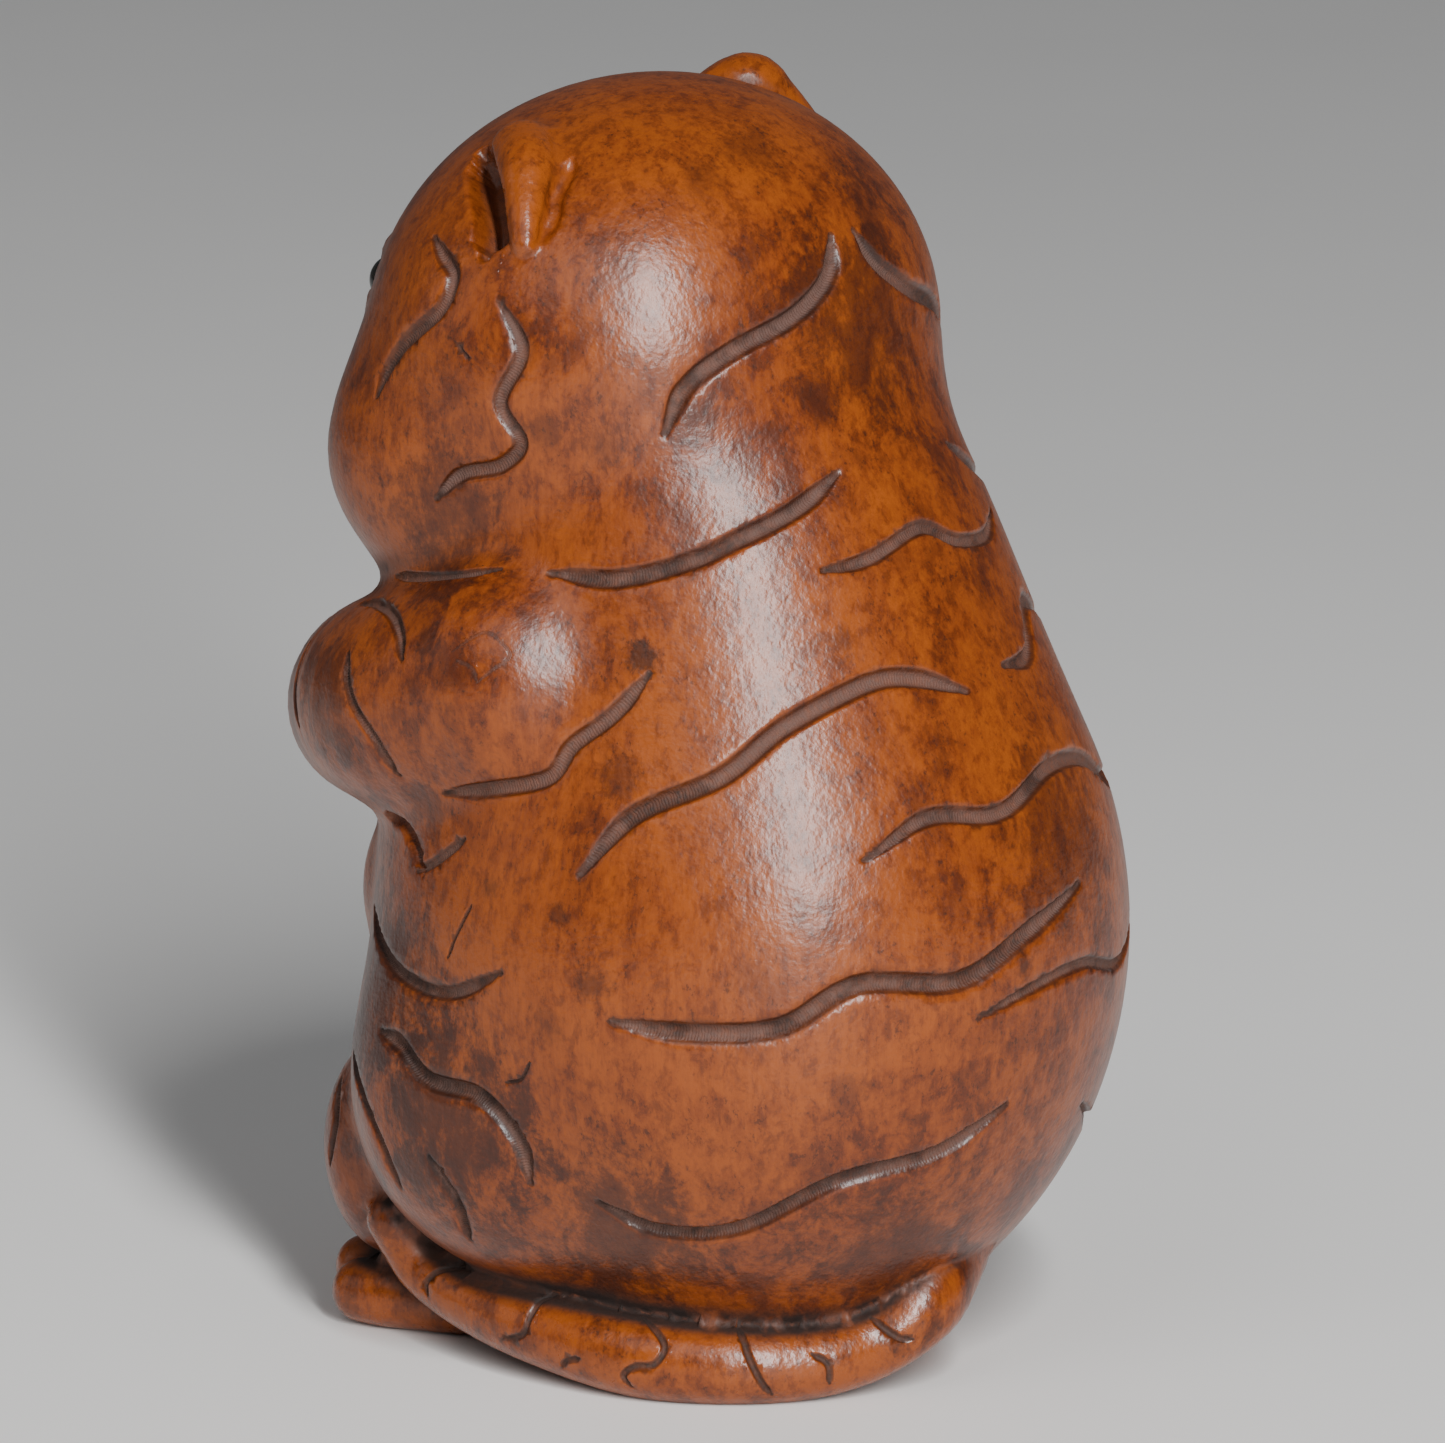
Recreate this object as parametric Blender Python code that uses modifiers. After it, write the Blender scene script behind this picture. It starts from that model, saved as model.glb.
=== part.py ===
"""A seated cat carved from boxwood, with stripe grooves, a wrapped tail and inlaid horn eyes.

The cat faces -Y, its left side is +X and it stands on z = 0, in metres. The body is a free
form, so its proportions and its carving are shares of the height: they are given in
hundredths of the height and scaled to metres once, at the end. The eyes are pieces of their
own, with real sizes and a clearance in their sockets.
"""

import math
from functools import cache

import bmesh
import bpy
import numpy as np
from mathutils import Matrix, Vector

# Driving dimensions, in metres
HEIGHT = 0.062
EYE_DIAMETER = 0.0025
EYE_CLEARANCE = 0.0003

# Finishes: base colour, roughness and metallic value
BOXWOOD = ((0.36, 0.125, 0.03), 0.32, 0.0)
HORN = ((0.012, 0.011, 0.008), 0.15, 0.0)

# How finely the form is worked, in hundredths of the height
VOXEL = 0.85
TRIANGLES = 8900
CARVING_CARE = 0.1
SHARP_FROM_DEGREES = 34.0
PROJECTION_STEPS = 4
SLOPE_STEP = 0.05
RUN_MARGIN = 5.0
CURVE_STEPS = 4
STRIPE_STEPS = 7
SEARCH_START = 44.0
SEARCH_STEPS = 40

# Where the carving is measured from: the upright line through the middle of the back
AXIS_Y = 3.0

# The smooth masses: name, centre, half sizes, blend width.
# A name that ends in _pair is repeated on the cat's right side.
MASSES = (
    ("belly", (0.0, 5.8, 32.6), (28.4, 28.8, 32.4), 0.0),
    ("base", (0.0, 5.0, 9.0), (17.4, 17.6, 12.6), 3.0),
    ("chest", (0.0, 1.0, 55.0), (23.0, 23.8, 26.0), 7.0),
    ("head", (0.0, -3.4, 77.0), (23.4, 20.4, 19.6), 5.0),
    ("cheek_pair", (11.5, -11.0, 69.0), (11.5, 11.5, 11.0), 4.0),
    ("thigh_pair", (14.0, -4.0, 21.0), (13.4, 14.0, 14.0), 5.0),
    ("muzzle_pair", (3.6, -22.2, 70.2), (6.2, 5.6, 4.8), 2.6),
    ("chin", (0.0, -21.6, 65.2), (6.4, 4.6, 4.2), 2.6),
    ("nose_bridge", (0.0, -22.2, 76.4), (3.2, 4.0, 5.4), 3.0),
    ("nose", (0.0, -26.6, 74.2), (2.6, 1.7, 1.5), 0.8),
    ("eyelid_pair", (10.4, -18.4, 80.6), (3.4, 3.2, 3.0), 1.6),
    ("knee_pair", (14.0, -17.2, 14.6), (5.9, 5.8, 8.8), 2.0),
    ("lap", (0.0, -12.0, 9.0), (14.0, 11.0, 10.0), 3.0),
    ("paw_fold_pair", (13.4, -16.8, 34.6), (3.4, 3.4, 6.2), 1.0),
)

# The tapered runs: name, points with a radius each, blend width
RUNS = (
    ("arm_pair", ((19.0, -1.0, 54.0, 9.6), (18.6, -10.0, 51.0, 8.8), (15.2, -16.6, 49.5, 7.9),
                  (10.0, -22.6, 47.0, 6.4), (4.8, -26.6, 44.6, 5.2)), 2.2),
    ("foot_pair", ((12.4, -12.0, 2.7, 2.7), (14.3, -17.6, 2.7, 2.7), (14.8, -20.2, 2.6, 2.5)), 0.6),
    ("inner_toe_pair", ((12.0, -14.0, 3.2, 2.6), (11.4, -22.8, 3.4, 2.4)), 0.6),
    ("small_toe_pair", ((9.4, -14.0, 3.0, 2.6), (8.2, -22.6, 3.0, 2.3)), 0.6),
    ("left_ear", ((13.4, -5.1, 92.2, 2.6), (15.6, -3.0, 91.6, 2.25), (17.3, -1.7, 90.1, 1.8),
                  (18.7, -0.7, 88.5, 1.45), (19.8, 0.2, 86.9, 1.1)), 0.4),
    ("right_ear", ((-11.0, -7.6, 92.3, 2.2), (-13.6, -5.4, 93.8, 2.6), (-15.0, -4.2, 92.5, 2.35),
                   (-17.2, -2.2, 89.3, 1.9), (-19.2, -0.4, 87.0, 1.2)), 0.4),
    ("tail", ((-5.0, 19.5, 12.5, 5.5), (-0.5, 22.4, 8.6, 4.1), (2.8, 24.0, 6.3, 3.1),
              (6.2, 22.2, 3.8, 2.75), (10.5, 19.4, 2.8, 2.85), (14.9, 14.9, 2.8, 3.05),
              (17.7, 8.7, 3.1, 3.2), (18.6, 0.6, 4.0, 2.95), (17.9, -6.4, 4.7, 2.55),
              (17.3, -11.6, 6.1, 2.25), (17.9, -13.2, 8.2, 2.15), (18.9, -13.8, 10.2, 2.1)), 0.3),
)

# The left eye's place on the head, and how deep its centre sits, as a share of its diameter
EYE_BEARING = -62.0
EYE_PLACE_HEIGHT = 81.5
EYE_SINK = 0.5

# The grooves: name, width, and the points that the line runs through, each a bearing about
# the axis (0 the cat's left, 90 its back, -90 its front) with a height
STRIPES = (
    ("temple_pair", 1.6, ((-31, 86.4), (-26.4, 85.5), (-21.6, 84.5), (-20.5, 83), (-22, 81.5),
                          (-26, 80), (-30, 78.5), (-33, 76.5), (-34, 74.5))),
    ("cheek_pair", 1.5, ((-9, 83), (-3, 79.5), (-7, 75.5), (-4, 72.5), (-9, 70.5), (-17, 69.5),
                         (-22, 67.5))),
    ("crown_pair", 1.9, ((83, 86.5), (77, 84), (61, 81.5), (42, 79.5), (30, 77), (25, 73.5))),
    ("nape_pair", 1.8, ((67, 70), (56, 68), (42, 66), (32, 64.5), (17, 63), (3, 63))),
    ("spine_top", 1.4, ((59, 63.5), (70, 64), (86, 65.5), (97, 64), (111, 63.5), (121, 64.5))),
    ("shoulder_left", 1.9, ((16, 42), (24, 46.5), (38, 49.5), (49, 53), (64, 55.5), (74, 55.5), (84, 54))),
    ("shoulder_right", 1.7, ((96, 55), (107, 55), (117, 58), (131, 56), (147, 52), (162, 47))),
    ("spine_middle", 1.7, ((59, 43.5), (70, 46), (83, 45.5), (97, 47.5), (110, 47), (124, 44),
                           (142, 45), (156, 41))),
    ("flank_left", 2.0, ((22, 31.5), (33, 31), (46, 31.5), (57, 34.5), (72, 34), (84, 36.5), (97, 39))),
    ("flank_right", 1.2, ((75, 31), (86, 32.5), (97, 33), (110, 31.5), (124, 33.5), (140, 36), (158, 31.5))),
    ("haunch_left", 1.8, ((17, 16.5), (27, 14.5), (41, 15), (56, 19), (71, 20.5), (82, 23.5))),
    ("haunch_right", 1.7, ((104, 21), (118, 18), (134, 18.5), (148, 15), (161, 16.5))),
    ("armpit_pair", 1.6, ((25, 56.5), (19, 53.5), (12, 51), (8, 48.5), (-3, 47), (-13, 46))),
    ("thigh_top_pair", 1.4, ((-42, 34.5), (-33, 33), (-20, 31.5), (-8, 31.5), (3, 34))),
    ("thigh_side_pair", 1.8, ((-25, 27), (-19, 26.5), (-12, 24.5), (-2, 24), (4, 21), (5, 17.5))),
    ("heel_pair", 1.1, ((-13, 18.5), (-10, 15), (-12, 11.5))),
    ("neck_pair", 1.0, ((-36, 60.5), (-23, 61.5), (-7, 63))),
    ("sleeve_pair", 1.3, ((-42, 58), (-34, 58.8), (-25.5, 58.8), (-20, 57.8), (-17, 56.2))),
    ("forearm_pair", 1.1, ((-30, 55.5), (-27, 53), (-22, 50), (-20, 47))),
    ("wrist_pair", 1.0, ((-48, 54.5), (-46, 51.5), (-44, 48.5))),
    ("shin_pair", 1.2, ((-36, 24), (-29, 21.5), (-24, 18.5), (-22, 15))),
    ("shin_front_pair", 1.0, ((-52, 20), (-49, 17), (-50, 13.5))),
    ("elbow_fold_pair", 1.0, ((-8, 43), (-14, 41), (-20, 39.5))),
    ("brow_middle", 1.6, ((-90, 94), (-91, 90), (-89, 86))),
    ("brow_side_pair", 1.6, ((-74, 94), (-70, 91), (-75, 87.5))),
    ("lip_parting", 0.9, ((-90, 72.5), (-90, 70), (-90, 68))),
    ("smile_pair", 0.9, ((-90, 68), (-84, 66.8), (-76, 67.5), (-69, 70))),
    ("whisker_high_pair", 0.8, ((-70, 72), (-62, 73.5), (-54, 73))),
    ("whisker_low_pair", 0.8, ((-68, 69), (-60, 68.5), (-53, 66.5))),
    ("finger_inner_pair", 0.8, ((-84, 47), (-84.5, 44.5), (-85, 41.5))),
    ("finger_middle_pair", 0.8, ((-80, 47.5), (-80.5, 44.5), (-81, 41))),
    ("finger_outer_pair", 0.8, ((-76, 48), (-76.5, 45), (-77, 41.5))),
    ("belly_left", 1.4, ((-62, 30), (-70, 28), (-79, 28.5), (-86, 26.5))),
    ("belly_right", 1.4, ((-95, 31), (-103, 32.5), (-112, 30.5), (-119, 31.5))),
)
GROOVE_DEPTH_SHARE = 0.40
GROOVE_FLOOR_SHARE = 0.3
GROOVE_TAPER_SHARE = 0.14
GROOVE_END_SHARE = 0.1
GROOVE_MARGIN = 0.9

# The hollows in front of the ears, written as the grooves are
EAR_HOLLOWS = (
    ("left", 3.2, ((-42, 92), (-35, 91.4), (-26, 90), (-20, 88.6), (-17, 87.2), (-16, 86))),
    ("right", 3.2, ((222, 93), (215, 92), (206, 90), (200, 88.6), (197, 87.2), (196, 86))),
)
EAR_HOLLOW_DEPTH_SHARE = 0.7

# The thin rings cut across the tail, each through points of a share of the tail's run with
# an angle about it (0 its outer side, 90 its top)
TAIL_RINGS = (
    ((0.735, 80), (0.765, 45), (0.78, 12), (0.775, -10)),
    ((0.62, 95), (0.627, 63), (0.63, 32), (0.635, 2), (0.658, -16)),
    ((0.579, -5), (0.591, -14), (0.598, -29)),
    ((0.536, 95), (0.515, 52), (0.507, 31), (0.515, 8), (0.531, 2), (0.542, -15), (0.536, -32)),
    ((0.44, 90), (0.435, 52), (0.43, 24), (0.419, -13), (0.409, -34)),
    ((0.368, 28), (0.351, 9), (0.348, -25)),
    ((0.285, 62), (0.269, 33), (0.246, 6), (0.227, -7)),
)
TAIL_RING_WIDTH = 0.7

# The crease between the tail and the body: width, angle about the tail, and run shares
TAIL_CREASE_WIDTH = 1.1
TAIL_CREASE_ANGLE = 108.0
TAIL_CREASE_RUN = (0.17, 0.97)
TAIL_CREASE_STEPS = 30


def mirrored(point):
    """The same point on the cat's right side."""
    return (-point[0],) + tuple(point[1:])


def blended(a, b, width):
    """The union of two distance fields, rounded over a width where they meet."""
    if width <= 0:
        return np.minimum(a, b)
    closeness = np.maximum(width - np.abs(a - b), 0.0) / width
    return np.minimum(a, b) - closeness * closeness * width * 0.25


def ball_distance(points, centre, size):
    """About how far points are outside an ellipsoid."""
    offset = points - np.array(centre)
    reach = np.linalg.norm(offset / size, axis=1)
    slope = np.linalg.norm(offset / np.square(size), axis=1)
    return reach * (reach - 1.0) / np.maximum(slope, 1e-9)


def run_distance(points, stations):
    """How far points are outside a tapered run through its stations, where they are near it."""
    fixed = np.array(stations)
    reach = fixed[:, 3:4] + RUN_MARGIN
    low = (fixed[:, :3] - reach).min(axis=0)
    high = (fixed[:, :3] + reach).max(axis=0)
    close = np.all((points > low) & (points < high), axis=1)
    distance = np.full(len(points), np.inf)
    distance[close] = near_run_distance(points[close], stations)
    return distance


def near_run_distance(points, stations):
    """How far points are outside a tapered run, segment by segment."""
    nearest = np.full(len(points), np.inf)
    for start, end in zip(stations, stations[1:]):
        a = np.array(start)
        b = np.array(end)
        along = b[:3] - a[:3]
        share = np.clip((points - a[:3]) @ along / (along @ along), 0.0, 1.0)
        radius = a[3] + (b[3] - a[3]) * share
        gap = np.linalg.norm(points - a[:3] - share[:, None] * along, axis=1)
        nearest = np.minimum(nearest, gap - radius)
    return nearest


def smooth_stations(stations, steps=CURVE_STEPS):
    """The stations with more between them, on a Catmull-Rom curve."""
    fixed = np.array(stations)
    ends = np.vstack([2 * fixed[0] - fixed[1], fixed, 2 * fixed[-1] - fixed[-2]])
    found = []
    for a, b, c, d in zip(ends, ends[1:], ends[2:], ends[3:]):
        for step in range(steps):
            t = step / steps
            found.append(0.5 * (2 * b + (c - a) * t + (2 * a - 5 * b + 4 * c - d) * t * t
                                + (3 * b - a - 3 * c + d) * t ** 3))
    found.append(fixed[-1])
    return [tuple(row) for row in found]


@cache
def masses():
    """Every smooth mass, with the pairs written out for both sides."""
    found = []
    for name, centre, size, blend in MASSES:
        found.append((centre, size, blend))
        if name.endswith("_pair"):
            found.append((mirrored(centre), size, blend))
    return found


@cache
def runs():
    """Every tapered run as a smooth curve, with the pairs written out for both sides."""
    found = []
    for name, stations, blend in RUNS:
        found.append((smooth_stations(stations), blend))
        if name.endswith("_pair"):
            found.append((smooth_stations([mirrored(station) for station in stations]), blend))
    return found


def cat_distance(points):
    """How far points are outside the uncarved cat."""
    distance = np.full(len(points), np.inf)
    for centre, size, blend in masses():
        distance = blended(distance, ball_distance(points, centre, size), blend)
    for stations, blend in runs():
        distance = blended(distance, run_distance(points, stations), blend)
    return distance


def cat_slope(points):
    """The distance and its slope, which points straight out of the surface."""
    here = cat_distance(points)
    slope = np.empty_like(points)
    for axis in range(3):
        moved = points.copy()
        moved[:, axis] += SLOPE_STEP
        slope[:, axis] = (cat_distance(moved) - here) / SLOPE_STEP
    return here, slope


def on_surface(points):
    """Points moved onto the uncarved cat."""
    for _ in range(PROJECTION_STEPS):
        here, slope = cat_slope(points)
        steep = np.maximum(np.sum(slope * slope, axis=1), 0.25)
        points = points - slope * np.clip(here / steep, -1.5, 1.5)[:, None]
    return points


def skin_points(bearings, heights):
    """Where level lines from the axis, at each bearing and height, leave the cat's skin."""
    angle = np.radians(bearings)
    outward = np.stack([np.cos(angle), np.sin(angle), np.zeros_like(angle)], axis=1)
    start = np.stack([np.zeros_like(angle), np.full_like(angle, AXIS_Y), heights], axis=1)
    reach = np.full(len(angle), SEARCH_START)
    for _ in range(SEARCH_STEPS):
        reach = reach - 0.8 * cat_distance(start + reach[:, None] * outward)
    return start + reach[:, None] * outward


def tapered_half_widths(count, width):
    """Half the groove's width at each step of its line, drawn in at both ends."""
    share = np.linspace(0.0, 1.0, count)
    end_gap = np.minimum(share, 1.0 - share) / GROOVE_TAPER_SHARE
    return 0.5 * width * np.sqrt(np.clip(end_gap, GROOVE_END_SHARE, 1.0))


def skin_paths():
    """Each groove and ear hollow as bearings with heights, its width and its depth share."""
    for name, width, stations in STRIPES:
        path = np.array(smooth_stations(stations, STRIPE_STEPS))
        yield path, width, GROOVE_DEPTH_SHARE
        if name.endswith("_pair"):
            yield np.array([180.0, 0.0]) + path * (-1.0, 1.0), width, GROOVE_DEPTH_SHARE
    for _, width, stations in EAR_HOLLOWS:
        yield np.array(smooth_stations(stations, STRIPE_STEPS)), width, EAR_HOLLOW_DEPTH_SHARE


def skin_lines():
    """Each groove and ear hollow as points on the skin, half widths and a depth share."""
    paths = list(skin_paths())
    every = np.vstack([path for path, _, _ in paths])
    points = skin_points(every[:, 0], every[:, 1])
    first = 0
    for path, width, depth_share in paths:
        count = len(path)
        yield points[first:first + count], tapered_half_widths(count, width), depth_share
        first += count


def tail_places(shares, angles):
    """Points on the tail's side, each at a share of its run and an angle about it."""
    stations = np.array(next(smooth_stations(points) for name, points, _ in RUNS if name == "tail"))
    steps = np.arange(len(stations))
    at = np.array(shares) * steps[-1]
    middle = np.stack([np.interp(at, steps, column) for column in stations.T], axis=1)
    ahead = np.stack([np.interp(at + 0.5, steps, column) for column in stations.T], axis=1)
    behind = np.stack([np.interp(at - 0.5, steps, column) for column in stations.T], axis=1)
    along = ahead[:, :3] - behind[:, :3]
    outward = np.stack([-along[:, 1], along[:, 0], np.zeros(len(at))], axis=1)
    outward = outward / np.linalg.norm(outward, axis=1)[:, None]
    away = np.sum(outward * (middle[:, :3] - (0.0, AXIS_Y, 0.0)), axis=1)
    outward = outward * np.sign(away)[:, None]
    angle = np.radians(angles)[:, None]
    around = np.cos(angle) * outward + np.sin(angle) * (0.0, 0.0, 1.0)
    return on_surface(middle[:, :3] + middle[:, 3:4] * around)


def tail_lines():
    """The thin rings across the tail, and the crease between the tail and the body."""
    for stations in TAIL_RINGS:
        fixed = np.array(smooth_stations(stations, STRIPE_STEPS))
        halves = tapered_half_widths(len(fixed), TAIL_RING_WIDTH)
        yield tail_places(fixed[:, 0], fixed[:, 1]), halves, GROOVE_DEPTH_SHARE
    shares = np.linspace(*TAIL_CREASE_RUN, TAIL_CREASE_STEPS)
    halves = tapered_half_widths(TAIL_CREASE_STEPS, TAIL_CREASE_WIDTH)
    yield tail_places(shares, np.full(TAIL_CREASE_STEPS, TAIL_CREASE_ANGLE)), halves, GROOVE_DEPTH_SHARE


def line_gaps(points, line, half_widths):
    """How far points are from a groove's line, and its half width there."""
    gap = np.full(len(points), np.inf)
    half = np.full(len(points), 1.0)
    for start, end, half_start, half_end in zip(line, line[1:], half_widths, half_widths[1:]):
        along = end - start
        share = np.clip((points - start) @ along / max(along @ along, 1e-12), 0.0, 1.0)
        found = np.linalg.norm(points - start - share[:, None] * along, axis=1)
        closer = found < gap
        gap[closer] = found[closer]
        half[closer] = (half_start + (half_end - half_start) * share)[closer]
    return gap, half


def groove_field(points, lines):
    """The depth of carving at each point, and whether it lies near any groove."""
    depth = np.zeros(len(points))
    near_any = np.zeros(len(points), dtype=bool)
    for line, half_widths, depth_share in lines:
        margin = GROOVE_MARGIN + half_widths.max()
        low = line.min(axis=0) - margin
        high = line.max(axis=0) + margin
        close = np.flatnonzero(np.all((points > low) & (points < high), axis=1))
        gap, half = line_gaps(points[close], line, half_widths)
        near_any[close[gap < half + GROOVE_MARGIN]] = True
        wall = np.clip((1.0 - gap / half) / (1.0 - GROOVE_FLOOR_SHARE), 0.0, 1.0)
        depth[close] = np.maximum(depth[close], 2.0 * half * depth_share * wall)
    return depth, near_any


def clear_scene():
    for thing in list(bpy.data.objects):
        bpy.data.objects.remove(thing, do_unlink=True)


def collection(name):
    found = bpy.data.collections.new(name)
    bpy.context.scene.collection.children.link(found)
    return found


def material(name, finish):
    """A Principled material with a finish's colour, roughness and metallic value."""
    colour, roughness, metallic = finish
    made = bpy.data.materials.new(name)
    made.use_nodes = True
    shader = made.node_tree.nodes["Principled BSDF"]
    shader.inputs["Base Color"].default_value = (*colour, 1.0)
    shader.inputs["Roughness"].default_value = roughness
    shader.inputs["Metallic"].default_value = metallic
    return made


def rough_masses():
    """Spheres for every mass and along every run, as one mesh of overlapping shells."""
    shells = bmesh.new()
    for centre, size, _ in masses():
        place = Matrix.Translation(centre) @ Matrix.Diagonal((*size, 1.0))
        bmesh.ops.create_icosphere(shells, subdivisions=4, radius=1.0, matrix=place)
    for stations, _ in runs():
        for x, y, z, radius in stations:
            bmesh.ops.create_icosphere(
                shells, subdivisions=3, radius=radius, matrix=Matrix.Translation((x, y, z)))
    mesh = bpy.data.meshes.new("rough")
    shells.to_mesh(mesh)
    shells.free()
    return mesh


def evaluated_mesh(thing, name):
    """A plain mesh of the object with its modifiers applied."""
    graph = bpy.context.evaluated_depsgraph_get()
    made = bpy.data.meshes.new_from_object(thing.evaluated_get(graph))
    made.name = name
    return made


def positions(mesh):
    values = np.empty(len(mesh.vertices) * 3)
    mesh.vertices.foreach_get("co", values)
    return values.reshape(-1, 3)


def set_positions(mesh, points):
    mesh.vertices.foreach_set("co", points.ravel())
    mesh.update()


def one_skin(thing):
    """The overlapping shells remeshed into one skin and drawn onto the cat's form."""
    remesh = thing.modifiers.new("one skin", "REMESH")
    remesh.mode = "VOXEL"
    remesh.voxel_size = VOXEL
    made = evaluated_mesh(thing, "skin")
    thing.modifiers.clear()
    thing.data = made
    set_positions(made, on_surface(positions(made)))


def refined_near_grooves(thing, lines):
    """Splits the skin's edges near the carving, so that its walls have points to stand on."""
    _, near_any = groove_field(positions(thing.data), lines)
    work = bmesh.new()
    work.from_mesh(thing.data)
    work.verts.ensure_lookup_table()
    chosen = [edge for edge in work.edges if all(near_any[vert.index] for vert in edge.verts)]
    bmesh.ops.subdivide_edges(work, edges=chosen, cuts=1, use_grid_fill=True)
    bmesh.ops.triangulate(work, faces=work.faces[:])
    work.to_mesh(thing.data)
    work.free()
    set_positions(thing.data, on_surface(positions(thing.data)))


def carved(thing, lines):
    """Sinks the grooves and the ear hollows into the skin, along its own slope."""
    points = positions(thing.data)
    depth, _ = groove_field(points, lines)
    sunk = depth > 0
    _, slope = cat_slope(points[sunk])
    slope = slope / np.maximum(np.linalg.norm(slope, axis=1), 1e-6)[:, None]
    points[sunk] -= slope * depth[sunk][:, None]
    set_positions(thing.data, points)


def fewer_triangles(thing, lines, count):
    """The skin reduced to a number of triangles, kept finest in the carving."""
    depth, _ = groove_field(positions(thing.data), lines)
    plain = thing.vertex_groups.new(name="plain skin")
    plain.add(np.flatnonzero(depth <= 0).tolist(), 1.0, "REPLACE")
    plain.add(np.flatnonzero(depth > 0).tolist(), 1.0 - CARVING_CARE, "REPLACE")
    triangles = sum(len(face.vertices) - 2 for face in thing.data.polygons)
    reduce = thing.modifiers.new("fewer triangles", "DECIMATE")
    reduce.vertex_group = plain.name
    reduce.vertex_group_factor = CARVING_CARE
    reduce.ratio = min(1.0, count / triangles)
    reduce.use_collapse_triangulate = True
    made = evaluated_mesh(thing, "reduced")
    thing.modifiers.clear()
    thing.vertex_groups.clear()
    thing.data = made


def flat_base(thing):
    """Cuts the skin at z = 0 and closes it with one flat face."""
    work = bmesh.new()
    work.from_mesh(thing.data)
    everything = work.verts[:] + work.edges[:] + work.faces[:]
    cut = bmesh.ops.bisect_plane(
        work, geom=everything, dist=1e-5, plane_co=(0, 0, 0), plane_no=(0, 0, 1), clear_inner=True)
    rim = [piece for piece in cut["geom_cut"] if isinstance(piece, bmesh.types.BMEdge)]
    bmesh.ops.edgenet_fill(work, edges=rim)
    bmesh.ops.triangulate(work, faces=[face for face in work.faces if len(face.verts) > 4])
    bmesh.ops.recalc_face_normals(work, faces=work.faces[:])
    work.to_mesh(thing.data)
    work.free()


def eye_places():
    """The centre of each eye, in hundredths of the height."""
    inset = EYE_SINK * EYE_DIAMETER * 100.0 / HEIGHT
    for name, bearing in (("left_eye", EYE_BEARING), ("right_eye", 180.0 - EYE_BEARING)):
        spot = skin_points(np.array([bearing]), np.array([EYE_PLACE_HEIGHT]))
        _, slope = cat_slope(spot)
        yield name, (spot - slope / np.linalg.norm(slope) * inset)[0]


def sphere(name, centre, diameter, home):
    """A smooth round bead."""
    bead = bmesh.new()
    bmesh.ops.create_uvsphere(bead, u_segments=16, v_segments=8, radius=diameter / 2)
    mesh = bpy.data.meshes.new(name)
    bead.to_mesh(mesh)
    bead.free()
    mesh.shade_smooth()
    thing = bpy.data.objects.new(name, mesh)
    thing.location = centre
    home.objects.link(thing)
    return thing


def inlaid_eyes(cat, placing, shown, hidden):
    """A horn bead for each eye, with a socket cut around it into the head."""
    horn = material("dark_horn", HORN)
    for name, place in eye_places():
        centre = placing @ Vector(place)
        bead = sphere(name, centre, EYE_DIAMETER, shown)
        bead.data.materials.append(horn)
        cutter = sphere(name + "_socket", centre, EYE_DIAMETER + 2 * EYE_CLEARANCE, hidden)
        cutter.hide_render = True
        cutter.display_type = "WIRE"
        socket = cat.modifiers.new(name + " socket", "BOOLEAN")
        socket.operation = "DIFFERENCE"
        socket.solver = "EXACT"
        socket.object = cutter


def placing_of(mesh):
    """The scale and move that give the cat its height and set it over the origin."""
    points = positions(mesh)
    low = points.min(axis=0)
    high = points.max(axis=0)
    middle = (low + high) / 2
    scale = Matrix.Scale(HEIGHT / high[2], 4)
    return scale @ Matrix.Translation((-middle[0], -middle[1], 0.0))


def main():
    clear_scene()
    shown = collection("boxwood_cat")
    hidden = collection("cutters")
    cat = bpy.data.objects.new("cat_carving", rough_masses())
    shown.objects.link(cat)
    lines = [*skin_lines(), *tail_lines()]
    one_skin(cat)
    refined_near_grooves(cat, lines)
    carved(cat, lines)
    fewer_triangles(cat, lines, TRIANGLES)
    flat_base(cat)
    placing = placing_of(cat.data)
    cat.data.transform(placing)
    cat.data.shade_smooth()
    cat.data.set_sharp_from_angle(angle=math.radians(SHARP_FROM_DEGREES))
    cat.data.materials.append(material("boxwood", BOXWOOD))
    inlaid_eyes(cat, placing, shown, hidden)


main()
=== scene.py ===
import logging
import math
from collections.abc import Callable, Iterator
from dataclasses import dataclass, field
from enum import Enum

import bmesh
import bpy
import numpy as np
from mathutils import Matrix, Vector


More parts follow.
